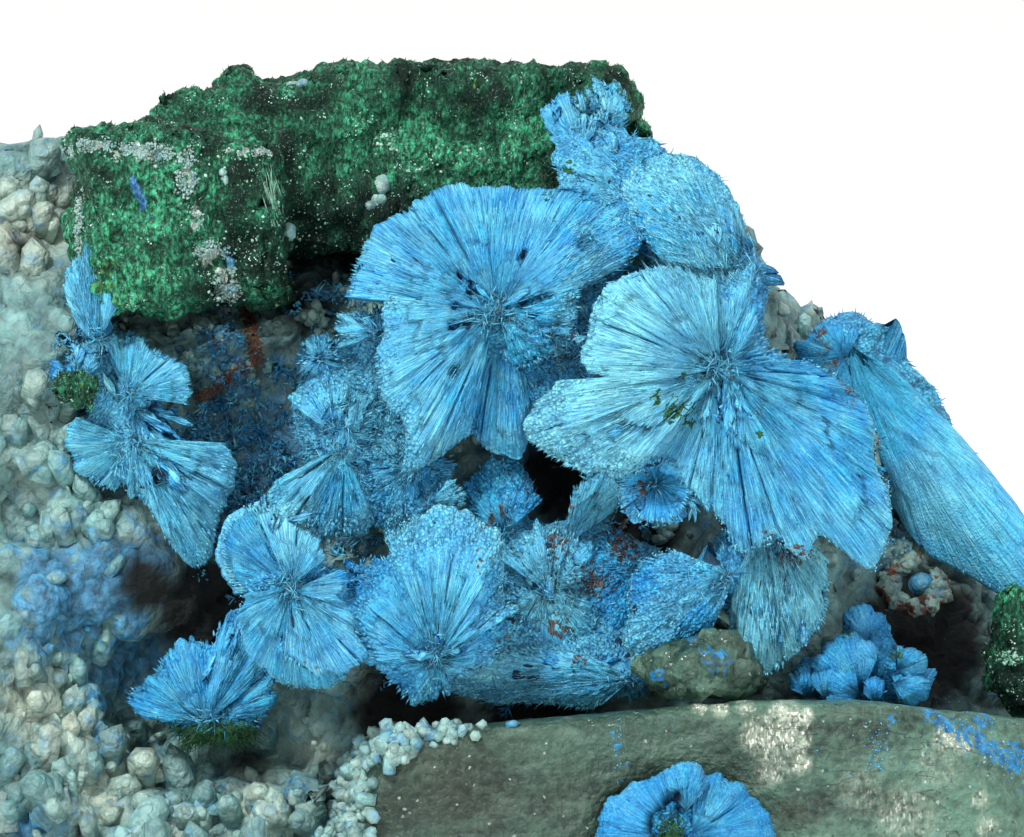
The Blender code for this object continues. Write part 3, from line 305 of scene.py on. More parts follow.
STYLES = {
    "crown": (0.32, 0.04, 0.10, 1.0),
    "west_lobe": (0.55, 0.22, 0.18, 0.8, None, None, 0.1),
    "south_lobe": (0.22, 0.08, 0.15, 0.7, None, None, 0.1),
    "inner_lobe": (0.30, 0.40, 0.55, 0.3, None, None, 0.42),
    "east_crown": (0.74, 0.14, 0.20, 0.8),
    "east_shoulder": (0.95, 0.30, 0.25, 0.6, None, None, 0.06),
    "east_skirt": (0.55, 0.10, 0.20, 0.7, None, None, 0.2),
    "east_wing": (0.28, 0.04, 0.06, 0.9, 0.5),
    "east_tuft": (0.40, 0.30, 0.45, 0.4),
    "cup": (0.0, 0.05, 0.05, 0.9, 0.5, 0.3),
    "summit_slope": (0.58, 0.28, 0.16, 0.9, None, None, 0.02),
    "summit_back": (0.66, 0.30, 0.15, 0.9),
    "summit_face": (0.50, 0.45, 0.18, 0.7),
    "summit_blade": (0.25, 0.25, 0.25, 0.6),
    "summit_tip": (0.50, 0.45, 0.25, 0.5, None, None, 0.18),
    "bud_leaf": (0.22, 0.06, 0.10, 0.8, 0.5, 0.35, 0.1),
    "bud_crown": (0.60, 0.10, 0.20, 0.7, 0.2, None, 0.1),
    "bud_bowl": (0.28, 0.08, 0.08, 0.9, 0.4, 0.3),
    "bud_fan": (0.42, 0.08, 0.20, 0.8),
    "tulip_fan": (0.32, 0.42, 0.16, 0.5, 0.7, None, 0.08),
    "tulip_side": (0.20, 0.35, 0.15, 0.6, None, None, 0.1),
    "tulip_foot": (0.26, 0.55, 0.12, 0.4),
    "long_slope": (0.26, 0.03, 0.08, 1.0, None, 0.65, 0.2),
    "peak": (0.05, 0.20, 0.10, 0.8, None, 0.5, -0.15),
    "west_pad": (0.50, 0.85, 0.12, 0.5, 0.5),
    "fringe": (0.95, 0.10, 0.15, 0.9, None, None, 0.34),
    "stained_face": (0.35, 0.60, 0.40, 0.5),
    "curtain": (0.55, 0.30, 0.25, 0.8, None, None, 0.22),
    "dark_slab": (0.0, 0.9, 0.40, 0.3),
    "blue_slab": (0.05, 0.6, 0.30, 0.5),
}
# For each blue node: loose fibres on its sheets, tips along its rims, and fibres over what the sheets leave
# bare, in thousands.
FIBRES = {
    "shattuckite_main_rosettes": (4.0, 4.4, 2.0),
    "shattuckite_lower_rosettes": (2.0, 2.2, 1.2),
    "shattuckite_left_rosettes": (1.6, 1.6, 1.4),
    "shattuckite_middle_sprays": (1.4, 1.6, 2.0),
    "shattuckite_hollow_sprays": (1.4, 1.6, 1.8),
    "shattuckite_hanging_fringe": (1.4, 1.2, 1.0),
    "shattuckite_right_slope": (0.2, 0.2, 0.5),
    "shattuckite_nook_buds": (0.02, 0.04, 0.02),
    "shattuckite_corner_spray": (0.8, 0.9, 0.9),
    "shattuckite_ledge_rosette": (0.1, 0.2, 0.1),
}

# Spots are (x, z, radius, strength) on the face.
# Pits pressed into the sheets, painted near black inside as shade.
PITS = (
    (0.48, 33.10, 0.16, 2.4), (0.36, 32.80, 0.15, 2.2), (-2.05, 31.7, 0.22, 2.2), (-1.75, 31.2, 0.24, 2.2),
    (-2.3, 32.1, 0.16, 2.0), (-2.5, 30.6, 0.16, 1.6), (0.6, 30.7, 0.22, 2.0), (1.1, 30.9, 0.20, 1.8),
    (1.6, 31.1, 0.16, 1.6), (-1.3, 30.9, 0.18, 1.6), (0.9, 30.2, 0.16, 1.6), (-0.4, 28.6, 0.16, 1.4),
    (-2.6, 29.8, 0.20, 1.6), (-1.9, 29.9, 0.20, 1.2), (-2.6, 27.7, 0.20, 1.6), (8.7, 28.2, 0.18, 1.4),
    (9.3, 28.3, 0.20, 1.6), (8.9, 27.9, 0.16, 1.4), (6.9, 7.6, 0.75, 1.6), (7.1, 8.6, 0.40, 1.4),
    (-15.9, 23.0, 0.30, 1.4), (3.3, 33.6, 0.35, 1.2),
)
PALE_SPOTS = (
    (4.6, 28.6, 2.6, 0.35), (6.4, 35.6, 2.6, 0.20), (3.6, 39.6, 1.0, 0.5), (-4.6, 20.4, 1.0, 0.3),
    (19.6, 22.4, 2.6, 0.25), (-9.8, 21.0, 0.8, 0.4), (1.6, 17.6, 1.2, 0.4), (-1.0, 13.6, 1.6, 0.4),
)
# Rock-coloured places between the fans, three of them painted shade in the hollow of a bud's bowl, olive
# ones on the right fan, and deep blue ones.
BARE_SPOTS = (
    (2.2, 28.4, 0.9, 0.9), (1.8, 29.4, 0.5, 0.7), (2.6, 31.0, 0.4, 0.6), (-0.6, 30.4, 0.35, 0.8),
    (-2.2, 30.4, 0.3, 0.6), (7.0, 7.3, 0.7, 0.9), (8.9, 28.0, 0.5, 1.0), (-9.9, 17.9, 0.35, 0.7),
    (-3.4, 14.6, 0.35, 0.6), (-17.1, 24.9, 0.35, 0.6), (-9.2, 14.6, 0.28, 0.7), (-8.6, 14.35, 0.32, 0.8),
    (-8.0, 14.15, 0.3, 0.8), (2.4, 17.6, 0.7, 0.7), (14.4, 28.9, 0.5, 1.0), (14.7, 28.0, 0.5, 1.0),
    (15.0, 27.2, 0.45, 1.0), (15.3, 26.4, 0.4, 0.9), (0.2, 19.6, 0.6, 0.6),
)
OLIVE_SPOTS = (
    (6.5, 26.5, 0.40, 1.0), (7.1, 25.8, 0.45, 1.0), (8.0, 25.4, 0.40, 0.9), (11.0, 24.8, 0.25, 0.9),
    (5.6, 40.4, 0.35, 1.6), (5.9, 39.4, 0.35, 1.6), (7.6, 27.6, 0.30, 0.7), (5.6, 32.8, 0.50, 0.8),
    (6.0, 25.2, 0.30, 0.6), (17.4, 14.9, 0.40, 1.0), (15.0, 16.0, 0.60, 0.8), (-14.4, 9.4, 1.00, 0.9),
    (-13.0, 9.2, 0.80, 0.8), (6.9, 7.2, 0.80, 0.8), (5.2, 40.6, 0.50, 0.6), (5.7, 39.5, 0.55, 1.2),
    (6.0, 38.5, 0.45, 1.0), (5.0, 41.0, 0.40, 0.9), (2.6, 36.9, 0.50, 0.9), (1.6, 35.8, 0.40, 0.8),
    (-14.6, 10.9, 0.9, 0.8), (-12.0, 10.6, 0.9, 0.8),
)
DEEP_SPOTS = (
    (-6.8, 18.9, 0.9, 1.0), (-2.0, 26.4, 1.2, 0.6), (0.3, 29.4, 1.4, 0.8), (12.0, 30.6, 1.2, 0.4),
    (3.6, 34.6, 1.6, 0.3), (8.6, 16.0, 1.0, 0.5), (6.4, 22.6, 0.9, 1.0), (16.0, 24.0, 1.6, 0.5),
    (-7.6, 22.2, 0.9, 0.7), (-6.9, 18.8, 0.7, 1.0), (6.6, 34.6, 1.0, 1.4), (6.0, 33.4, 0.8, 1.2),
    (7.6, 33.6, 0.7, 1.0), (8.4, 35.6, 0.6, 0.7), (10.0, 33.0, 0.5, 0.6), (14.6, 28.4, 2.0, 0.8),
    (16.4, 28.4, 1.2, 1.1), (17.0, 26.8, 1.2, 0.9), (17.8, 25.0, 1.0, 0.7), (5.0, 18.6, 1.6, 0.6),
    (-0.6, 34.6, 3.0, 0.1),
)
RUST_SPOTS = (
    (3.6, 18.2, 1.0, 1.0), (5.0, 20.0, 0.9, 1.1), (2.0, 20.0, 0.8, 1.0), (-1.4, 19.2, 0.6, 0.7),
    (5.8, 22.4, 0.6, 1.1), (2.2, 16.2, 0.8, 0.9), (3.0, 14.6, 0.6, 0.8), (-0.4, 21.4, 0.4, 0.8),
    (8.4, 20.1, 0.6, 0.7), (12.9, 19.4, 0.7, 0.9), (-5.0, 25.0, 0.6, 0.5), (0.2, 30.0, 0.4, 0.6),
    (9.0, 28.4, 0.4, 0.7), (-0.6, 15.2, 0.6, 0.6), (-8.0, 21.4, 0.5, 0.5), (1.0, 22.6, 0.6, 0.6),
    (2.6, 21.4, 0.5, 0.7), (11.6, 20.4, 0.5, 0.6), (15.6, 31.4, 0.5, 0.8), (14.2, 29.5, 0.35, 1.0),
    (15.1, 26.9, 0.35, 0.9), (14.8, 28.3, 0.3, 0.8), (-1.0, 21.0, 0.4, 0.7),
)

# Small leaves of fibres on each node's sheets: (x, z, spread across, spread up, how many, length, direction
# and its spread in degrees, half width in degrees, lift, pale).
LEAVES = {
    "shattuckite_main_rosettes": (
        (8.6, 32.4, 1.0, 0.8, 8, 1.2, 120, 30, 26, 0.06, 0.6),
        (3.6, 39.0, 0.9, 0.9, 10, 1.3, 110, 70, 20, 0.25, 0.3),
        (4.4, 37.4, 0.9, 0.8, 5, 0.9, 70, 60, 24, 0.12, 0.5),
        (0.9, 29.6, 0.8, 0.6, 8, 1.0, 330, 40, 20, 0.25, 0.1),
        (-0.7, 30.4, 0.3, 0.3, 7, 1.5, 200, 180, 9, 0.12, 0.2),
        (9.3, 27.7, 0.5, 0.4, 9, 1.4, 290, 120, 9, 0.16, 0.6),
        (9.6, 26.4, 1.2, 0.6, 9, 1.5, 275, 50, 9, 0.10, 0.5),
        (3.4, 30.4, 0.5, 1.4, 7, 0.9, 170, 60, 20, 0.15, 0.6),
        (7.6, 22.2, 0.7, 0.4, 3, 0.8, 280, 60, 20, 0.20, 0.7),
        (4.0, 25.0, 1.2, 0.8, 3, 1.0, 210, 40, 20, 0.10, 0.6)),
    "shattuckite_lower_rosettes": (
        (-6.8, 18.8, 0.5, 0.5, 9, 0.8, 140, 160, 14, 0.25, 0.0),
        (-9.9, 18.0, 0.3, 0.3, 4, 1.2, 290, 180, 9, 0.16, 0.4),
        (-3.4, 14.9, 0.5, 0.5, 8, 1.1, 70, 150, 10, 0.16, 0.3),
        (-11.0, 20.6, 0.8, 0.6, 5, 1.2, 60, 40, 16, 0.20, 0.6),
        (0.4, 15.8, 0.6, 0.6, 4, 1.1, 130, 40, 16, 0.15, 0.8)),
    "shattuckite_left_rosettes": (
        (-16.9, 25.7, 0.5, 0.5, 9, 2.2, 335, 50, 6, 0.35, 0.4),
        (-17.4, 26.4, 0.4, 0.4, 6, 1.8, 130, 60, 7, 0.30, 0.3),
        (-16.4, 24.2, 0.6, 0.8, 7, 1.9, 305, 24, 7, 0.25, 0.5),
        (-19.6, 27.4, 0.5, 0.5, 5, 1.0, 130, 60, 26, 0.20, 0.5)),
    "shattuckite_middle_sprays": (
        (-6.4, 25.6, 1.8, 1.6, 10, 1.2, 240, 90, 26, 0.16, 0.5),
        (-4.2, 23.6, 1.0, 1.0, 5, 1.1, 250, 60, 26, 0.16, 0.4)),
    "shattuckite_hollow_sprays": (
        (1.8, 17.6, 1.0, 0.9, 9, 1.3, 70, 60, 9, 0.20, 0.8),
        (1.6, 14.4, 2.0, 0.5, 5, 1.2, 170, 50, 14, 0.20, 0.3)),
    "shattuckite_hanging_fringe": (
        (11.4, 17.0, 1.2, 0.8, 7, 1.0, 270, 12, 12, 0.12, 0.7),
        (12.6, 18.2, 0.6, 0.8, 4, 0.9, 280, 15, 12, 0.12, 0.6)),
    "shattuckite_corner_spray": ((-13.0, 14.6, 1.2, 0.8, 4, 1.4, 75, 30, 14, 0.15, 0.2),),
}
LEAF_BACKING = 0.26
LEAF_STYLE = {**PLAIN, "grain": 0.12, "mess": 0.2, "silk": 0.9, "edge": 0.15}
# Needles strewn on each node where a look from the front meets it: (x, z, spread across, spread up,
# how many, length, direction and its spread in degrees, pale, olive, rust).
STREWN = {
    "shattuckite_main_rosettes": (
        (6.8, 34.8, 2.6, 2.0, 900, 0.45, 325, 12, 0.9, 0, 0),
        (8.6, 32.4, 1.8, 1.0, 600, 0.80, 125, 12, 0.8, 0, 0),
        (5.2, 37.2, 1.6, 1.2, 260, 0.35, 340, 40, 0.5, 0, 0),
        (4.0, 39.0, 1.2, 1.2, 200, 0.45, 100, 60, 0.5, 0, 0),
        (2.6, 29.0, 0.9, 1.6, 300, 0.40, 200, 40, 0.7, 0, 0),
        (0.8, 29.6, 1.0, 0.8, 200, 0.45, 330, 50, 0.2, 0, 0),
        (7.4, 26.0, 0.7, 0.5, 70, 0.40, 220, 40, 0.0, 2, 0),
        (5.8, 32.6, 0.5, 0.4, 60, 0.30, 90, 90, 0.0, 2, 0),
        (3.4, 32.6, 1.0, 1.4, 400, 0.70, 30, 15, 0.5, 0, 0)),
    "shattuckite_lower_rosettes": (
        (-6.6, 18.6, 0.7, 0.7, 300, 0.35, 90, 180, 0.0, 0, 0),
        (0.3, 15.6, 0.8, 0.8, 120, 0.5, 300, 60, 0.8, 0, 0.2)),
    "shattuckite_left_rosettes": (
        (-19.0, 31.4, 0.5, 1.4, 300, 0.9, 97, 8, 0.3, 0, 0),
        (-17.4, 24.2, 0.8, 1.2, 200, 0.7, 300, 30, 0.4, 0, 0)),
    "shattuckite_middle_sprays": ((-6.0, 24.6, 2.4, 2.4, 500, 0.4, 250, 50, 0.6, 0, 0.02),),
    "shattuckite_hollow_sprays": (
        (1.0, 13.4, 2.6, 0.5, 600, 0.8, 178, 35, 0.35, 0, 0),
        (2.6, 17.6, 1.6, 1.6, 300, 0.5, 80, 60, 0.8, 0, 0.1),
        (4.4, 19.0, 1.0, 1.0, 200, 0.25, 80, 90, 0.0, 0, 0.5)),
    "shattuckite_hanging_fringe": (
        (12.0, 17.6, 1.3, 1.6, 400, 0.7, 272, 10, 0.7, 0, 0.02),
        (12.4, 19.6, 0.7, 0.5, 150, 0.4, 270, 20, 0.2, 0, 0.7),
        (7.6, 18.0, 1.2, 1.0, 200, 0.4, 220, 60, 0.5, 0, 0)),
    "shattuckite_corner_spray": (
        (-12.6, 11.4, 2.4, 0.5, 600, 0.9, 270, 45, 0.0, 2, 0),
        (-14.8, 11.2, 1.6, 0.4, 300, 1.1, 215, 25, 0.0, 2, 0),
        (-11.8, 11.2, 1.6, 0.4, 300, 1.1, 325, 25, 0.0, 2, 0)),
    "shattuckite_ledge_rosette": ((7.1, 7.0, 0.5, 0.8, 300, 0.3, 90, 60, 0.0, 2, 0),),
}
# Dark holes and clefts between the fibres, filled with flat near-black plugs of painted shade: (x, z, half
# length, half width, direction in degrees).
SHADOW_PLUGS = (
    (0.49, 33.0, 0.26, 0.10, 75), (-2.30, 31.9, 0.45, 0.10, 305), (-1.75, 31.2, 0.30, 0.12, 310),
    (-5.35, 32.7, 0.18, 0.07, 320), (-4.1, 32.6, 0.40, 0.05, 325), (2.97, 31.4, 0.12, 0.09, 60),
    (4.1, 31.9, 0.35, 0.12, 350), (-0.2, 30.4, 0.22, 0.09, 20), (0.5, 30.8, 0.20, 0.09, 40),
    (-2.0, 29.65, 0.13, 0.09, 30), (-2.7, 29.65, 0.08, 0.07, 30), (-4.3, 28.5, 0.08, 0.05, 30),
    (-2.6, 27.9, 0.14, 0.06, 55), (3.9, 27.5, 0.28, 0.08, 10), (2.8, 29.3, 0.34, 0.14, 75),
    (8.6, 28.3, 0.20, 0.10, 20), (9.1, 28.2, 0.14, 0.07, 330), (8.3, 28.0, 0.12, 0.06, 45),
    (6.3, 23.7, 0.55, 0.22, 5), (-15.9, 23.2, 0.16, 0.06, 300), (-16.3, 26.1, 0.30, 0.10, 45),
    (-9.5, 18.2, 0.16, 0.08, 20), (-9.8, 16.6, 0.30, 0.06, 280), (-3.3, 16.2, 0.25, 0.05, 85),
    (2.4, 22.6, 0.30, 0.16, 60), (1.6, 19.8, 0.22, 0.14, 20), (5.6, 17.0, 0.26, 0.16, 80),
    (0.3, 14.0, 0.42, 0.18, 352), (1.1, 13.9, 0.34, 0.15, 10), (0.7, 14.4, 0.30, 0.12, 0),
    (4.8, 15.4, 0.30, 0.16, 75), (5.2, 14.8, 0.18, 0.10, 60), (5.1, 39.1, 0.14, 0.07, 30),
    (4.4, 36.3, 0.12, 0.08, 30), (-7.9, 24.4, 0.16, 0.10, 60), (9.4, 25.6, 0.18, 0.05, 280),
    (7.6, 34.6, 0.12, 0.04, 320), (9.2, 34.0, 0.14, 0.04, 320), (6.2, 35.6, 0.12, 0.04, 320),
    (-3.5, 20.9, 0.10, 0.06, 20),
)
SHADOW_PLUG_HALF_DEPTH = 0.05

# Marks on the malachite's face, as (x, z, radius, strength).
CRUST_DARK = (
    (-11.4, 34.0, 3.2, 0.5), (-8.4, 33.2, 3.4, 0.75), (-10.0, 38.0, 1.6, 0.3), (-6.4, 35.4, 2.8, 0.5),
    (-18.8, 36.6, 1.6, 0.5), (-13.0, 31.6, 1.8, 0.6), (23.0, 13.4, 3.0, 0.6), (-20.2, 26.8, 1.4, 0.3),
    (-4.0, 41.0, 2.4, 0.5), (3.0, 41.4, 2.0, 0.4), (-12.0, 41.0, 2.0, 0.4), (-14.6, 39.6, 2.4, 0.35),
    (-1.0, 41.4, 2.4, 0.4), (-9.0, 39.8, 1.4, 0.3), (2.0, 36.8, 1.0, 0.4), (-4.0, 34.4, 1.6, 0.6),
)
CRUST_BRIGHT = (
    (-15.8, 34.0, 2.6, 0.5), (-17.2, 31.4, 2.4, 0.6), (-4.4, 38.0, 2.4, 0.6), (-1.0, 36.4, 2.6, 0.5),
    (1.2, 38.6, 2.2, 0.5), (-7.6, 37.6, 1.6, 0.5), (-12.4, 39.4, 1.6, 0.4), (3.6, 39.4, 1.6, 0.5),
)
YELLOW_SPOTS = (
    (-18.2, 32.4, 0.6, 0.8), (-18.4, 31.5, 0.6, 0.8), (-17.6, 30.2, 0.9, 0.6), (-16.4, 29.6, 0.8, 0.5),
    (-19.0, 26.9, 0.5, 0.5), (4.6, 39.6, 1.6, 0.35), (-2.0, 40.4, 1.0, 0.4),
)
BLUE_STREAKS = tuple(
    (-17.2 + 0.09 * k, 36.6 - 0.21 * k, 0.09 + 0.09 * math.sin(math.pi * k / 9), 1.3) for k in range(10))
# Where the malachite stands out further to the right of the summit.
SHOULDER = ((5.0, 39.8, 1.3, 1.0), (5.1, 38.4, 1.3, 1.0), (5.2, 37.2, 1.2, 0.8))
# Where bright facets crowd, as crumbs painted pale for glints, and a sheaf of pale needles: (x, z, spread
# across, spread up, how many, scale).
GLINT_PATCHES = (
    (-5.8, 38.3, 0.5, 0.4, 120, 1), (-4.6, 36.6, 1.0, 0.8, 60, 1), (-9.6, 34.0, 1.6, 2.2, 160, 1),
    (-12.0, 33.4, 0.8, 1.4, 80, 1), (-12.6, 37.0, 1.2, 0.6, 60, 1), (-2.0, 37.6, 1.6, 0.8, 60, 1),
    (22.6, 14.7, 0.35, 0.25, 160, 1), (22.4, 12.6, 0.4, 0.6, 30, 1), (-20.2, 26.4, 0.3, 0.2, 12, 1),
)
SHEAF = ((-10.75, 35.4, 0.35, 1.1, 60, 1),)
SHEAF_WAY = np.array([-0.22, -0.30, 1.0])
CRUST_GRAIN = np.array([0.12, -0.25, 1.0])
# How much longer than wide the malachite's grains are, upright.
CRUST_UPRIGHT = np.array([1.0, 1.0, 0.62])

# Marks on the rock's face: painted near-black shade in its hollows, blue stains, rust, and cream places.
HOLLOW_SHADE = (
    (-9.4, 30.8, 1.3, 1.2), (-4.8, 24.2, 1.6, 1.2), (2.4, 22.9, 2.0, 1.3), (-14.0, 16.9, 2.4, 1.3),
    (-4.6, 12.2, 2.6, 1.3), (10.7, 21.2, 1.2, 1.2), (18.8, 15.4, 3.0, 1.5), (-12.2, 9.9, 0.8, 0.8),
    (1.0, 13.0, 3.0, 1.0), (6.0, 20.4, 2.0, 0.9), (14.6, 22.0, 1.2, 0.8), (-16.4, 18.0, 1.6, 1.0),
    (-17.0, 10.6, 0.5, 1.2), (-19.4, 7.0, 0.5, 1.1), (-22.0, 14.4, 0.5, 0.7), (20.6, 17.0, 1.2, 1.0),
    (-16.0, 6.6, 0.4, 1.0), (-22.4, 33.4, 0.8, 0.7), (-13.4, 6.2, 0.5, 0.8), (-9.4, 7.4, 0.5, 1.0),
)
STAINS = (
    (-20.0, 16.4, 3.0, 1.1), (-17.6, 15.2, 2.2, 1.2), (-18.4, 18.4, 2.8, 1.1), (-14.0, 23.6, 2.2, 1.0),
    (-21.4, 18.6, 1.6, 0.9), (-19.6, 12.6, 1.6, 0.8), (-10.4, 9.0, 1.0, 0.5), (-12.6, 26.6, 1.6, 1.0),
    (17.6, 24.6, 1.6, 0.8), (17.6, 18.6, 0.9, 1.1), (-22.0, 5.6, 2.2, 1.2), (-17.2, 21.6, 1.6, 0.8),
    (-13.4, 29.4, 0.8, 1.0), (-10.4, 30.6, 0.5, 0.6), (-8.6, 31.4, 1.0, 0.8), (-11.0, 24.6, 1.8, 1.2),
    (-12.4, 22.4, 1.6, 1.2), (-10.4, 28.0, 1.2, 1.0), (-18.6, 29.6, 1.0, 1.2), (-20.0, 27.6, 0.8, 1.0),
    (-12.4, 27.8, 0.9, 1.2), (-9.6, 21.4, 1.0, 1.0), (3.0, 19.4, 3.0, 1.0), (1.0, 24.0, 1.4, 0.8),
)
ROCK_RUST = (
    (17.6, 20.4, 1.2, 0.8), (18.6, 18.4, 0.9, 0.7), (16.8, 23.0, 0.9, 0.7), (-6.4, 21.4, 0.9, 0.6),
    (-5.8, 24.0, 0.8, 0.6), (-4.6, 17.4, 1.0, 0.5), (15.4, 31.0, 0.5, 0.7), (-6.0, 26.6, 0.5, 0.7),
)
CREAM = (
    (-22.6, 34.4, 2.6, 1.0), (-20.6, 35.6, 1.6, 0.8), (-22.6, 33.2, 1.2, 1.2), (-21.6, 22.0, 1.8, 0.6),
    (-21.8, 12.4, 1.6, 0.9), (-20.2, 11.4, 1.2, 1.0), (-18.6, 8.2, 1.4, 0.9), (-16.4, 9.4, 0.8, 0.9),
    (-11.6, 8.4, 1.6, 0.9), (-8.8, 10.2, 0.8, 0.5), (-14.8, 7.2, 1.2, 0.8), (-21.8, 27.6, 1.2, 0.5),
    (-6.6, 29.6, 0.8, 1.0), (14.6, 26.6, 1.0, 0.6), (15.2, 32.0, 1.4, 0.8),
)
# Large crystals standing out of the rock: (x, z, spread across, spread up, how many, radius).
BIG_CRYSTALS = (
    (-20.0, 9.6, 2.4, 2.0, 30, 0.75), (-15.6, 8.2, 2.2, 1.6, 28, 0.80), (-10.4, 7.8, 1.6, 1.2, 18, 0.65),
    (-21.6, 24.6, 1.4, 3.4, 26, 0.70), (-22.2, 34.6, 0.8, 1.6, 10, 0.80), (-19.6, 20.6, 1.4, 1.6, 10, 0.60),
    (-12.6, 27.2, 0.9, 1.0, 10, 0.35), (14.0, 31.2, 0.6, 1.0, 6, 0.35), (-20.6, 13.4, 1.4, 1.4, 14, 0.55),
)
# Quartz points at the rock's back, as in the solid: (foot, length, radius, tilt to the right
# and lean to the viewer in degrees).
BACK_POINTS = (
    ((-11.0, 16.0, 32.0), 4.6, 1.4, -14, -50), ((-18.0, 15.0, 20.0), 5.0, 1.6, -50, -70),
    ((-4.0, 19.0, 26.0), 5.0, 1.5, 10, -76), ((8.0, 18.0, 20.0), 5.4, 1.7, 24, -80),
    ((16.0, 16.4, 12.0), 5.0, 1.5, 50, -70), ((2.0, 19.0, 12.0), 4.6, 1.4, -20, -94),
    ((-9.0, 18.4, 10.0), 4.8, 1.5, -30, -86), ((26.6, 8.0, 12.0), 5.0, 1.5, 76, -20),
    ((22.6, 12.0, 13.4), 4.8, 1.4, 50, -40),
)
# How far the rock's thin lip before the long crystal's foot is drawn back, in millimetres.
LIP_TUCK = 1.8

# Where small blue tufts grow on the rock: (x, z, spread across, spread up, how many, radius).
TUFT_PATCHES = (
    (-7.6, 23.4, 1.6, 2.6, 70, 0.60), (3.4, 18.2, 2.4, 1.6, 80, 0.70), (-12.4, 24.6, 1.8, 2.4, 150, 0.55),
    (-11.8, 20.8, 1.4, 1.6, 76, 0.55), (-7.0, 20.2, 1.2, 0.8, 16, 0.60), (2.2, 28.4, 0.9, 1.4, 10, 0.45),
    (17.0, 24.4, 1.2, 1.0, 20, 0.50), (16.6, 28.2, 0.5, 0.6, 34, 0.55), (17.3, 26.6, 0.5, 0.7, 16, 0.50),
    (-1.4, 13.4, 2.6, 0.7, 20, 0.50), (-9.0, 31.0, 0.9, 0.5, 16, 0.50), (5.4, 15.6, 2.0, 1.0, 24, 0.60),
    (-19.2, 30.4, 0.4, 1.4, 40, 0.70), (-19.6, 28.0, 0.5, 0.6, 26, 0.50), (-14.4, 25.2, 1.2, 1.2, 30, 0.50),
)
TUFT_FIBRES = 14
# Where blue crumbs crust the rock and the long crystal, in the same form.
CRUMB_PATCHES = (
    (20.0, 11.6, 2.4, 1.4, 70, 0.05), (17.6, 9.4, 2.6, 2.6, 70, 0.04), (4.75, 11.2, 0.15, 0.9, 40, 0.05),
    (22.4, 10.4, 0.7, 0.5, 120, 0.05), (20.6, 12.0, 1.2, 0.3, 80, 0.05), (8.8, 14.2, 1.2, 1.0, 60, 0.05),
    (16.2, 10.6, 0.3, 0.9, 40, 0.06),
)

# Marks on the long crystal: frosted white, brown-grey, blue stains, and blue-green crust.
FROST = (
    (12.2, 12.3, 0.8, 1.1), (12.6, 11.3, 0.7, 1.3), (12.9, 10.2, 0.5, 1.1), (13.1, 12.3, 0.4, 1.3),
    (11.2, 11.4, 1.2, 0.7), (11.6, 10.0, 1.0, 0.6), (9.3, 12.6, 0.4, 1.2), (8.4, 12.7, 0.4, 0.9),
    (10.4, 12.7, 0.5, 0.7), (19.4, 11.3, 0.7, 0.8), (20.2, 11.0, 0.5, 0.8), (20.9, 8.6, 0.5, 0.8),
    (21.2, 7.4, 0.6, 0.7), (15.6, 9.0, 1.8, 0.4), (17.6, 7.8, 2.0, 0.5), (19.0, 10.0, 1.8, 0.4),
    (10.4, 8.6, 1.6, 0.3),
)
SMOKE = (
    (-3.0, 9.6, 2.6, 0.9), (-1.0, 8.4, 1.6, 0.7), (0.6, 10.6, 1.4, 0.5), (2.4, 8.4, 2.0, 0.6),
    (6.0, 9.6, 1.4, 0.4), (12.6, 8.0, 0.7, 0.9), (13.4, 8.1, 0.6, 0.9), (-6.0, 8.0, 1.6, 0.5),
    (15.4, 11.4, 1.2, 0.4),
)
LEDGE_STAINS = (
    (4.6, 11.6, 0.25, 1.2), (4.75, 10.9, 0.22, 1.2), (4.9, 10.2, 0.18, 1.0), (17.0, 12.2, 0.4, 0.7),
    (22.4, 10.6, 0.6, 1.2), (21.0, 12.0, 0.5, 1.1), (16.0, 11.0, 0.3, 0.6), (16.2, 10.2, 0.25, 0.6),
    (22.6, 8.8, 0.3, 0.7), (-1.0, 12.6, 0.6, 0.5), (1.0, 12.6, 0.5, 0.5), (19.0, 12.9, 0.4, 0.8),
) + tuple((18.6 + 0.30 * k, 12.4 - 0.17 * k, 0.30 + 0.02 * k, 1.3) for k in range(14))
# What the stub has more of than the long crystal: lighter tone and paleness, painted light that lifts it
# out of the shade under the fans, and more blue stain.
STUB_MARKS = {"tone": 0.45, "pale": 0.60, "core": 0.30}

# Sugary quartz on the malachite's edges, as (x, z, spread across, spread up, how many, size).
SUGAR_PATCHES = (
    (-18.9, 37.9, 0.7, 0.22, 600, 0.12), (-16.6, 37.6, 1.1, 0.35, 1000, 0.12),
    (-14.7, 36.6, 0.35, 0.8, 700, 0.12), (-19.6, 34.4, 0.18, 1.2, 500, 0.12),
    (-13.6, 32.9, 0.5, 0.5, 600, 0.12), (-12.9, 31.7, 0.5, 0.7, 900, 0.12),
    (-19.9, 37.7, 0.3, 0.25, 160, 0.13), (-11.6, 37.6, 1.0, 0.2, 120, 0.08),
    (-14.2, 34.6, 0.25, 0.6, 120, 0.08),
)
# Rounded translucent grains in nooks, in the same form, and where they are stained blue.
GRAIN_PATCHES = (
    (-8.9, 30.2, 0.5, 0.4, 16, 0.30), (-8.6, 29.7, 0.7, 0.3, 14, 0.24), (-6.4, 35.4, 0.4, 0.3, 3, 0.36),
    (-6.0, 36.4, 0.3, 0.3, 3, 0.36), (-15.4, 29.4, 0.2, 0.3, 2, 0.40), (-14.0, 29.9, 0.5, 0.2, 4, 0.34),
    (-10.2, 34.1, 0.05, 0.05, 1, 0.50), (-12.75, 32.6, 0.08, 0.2, 3, 0.26),
    (-13.0, 36.5, 0.10, 0.5, 4, 0.22), (-9.9, 40.9, 0.3, 0.1, 3, 0.30), (-5.8, 33.4, 0.2, 0.2, 2, 0.36),
    (-12.4, 26.4, 0.2, 0.3, 2, 0.40), (14.6, 19.4, 0.5, 0.5, 4, 0.34), (7.0, 20.2, 0.6, 0.4, 6, 0.36),
)
BLUE_NOOK = (-12.75, 32.6)
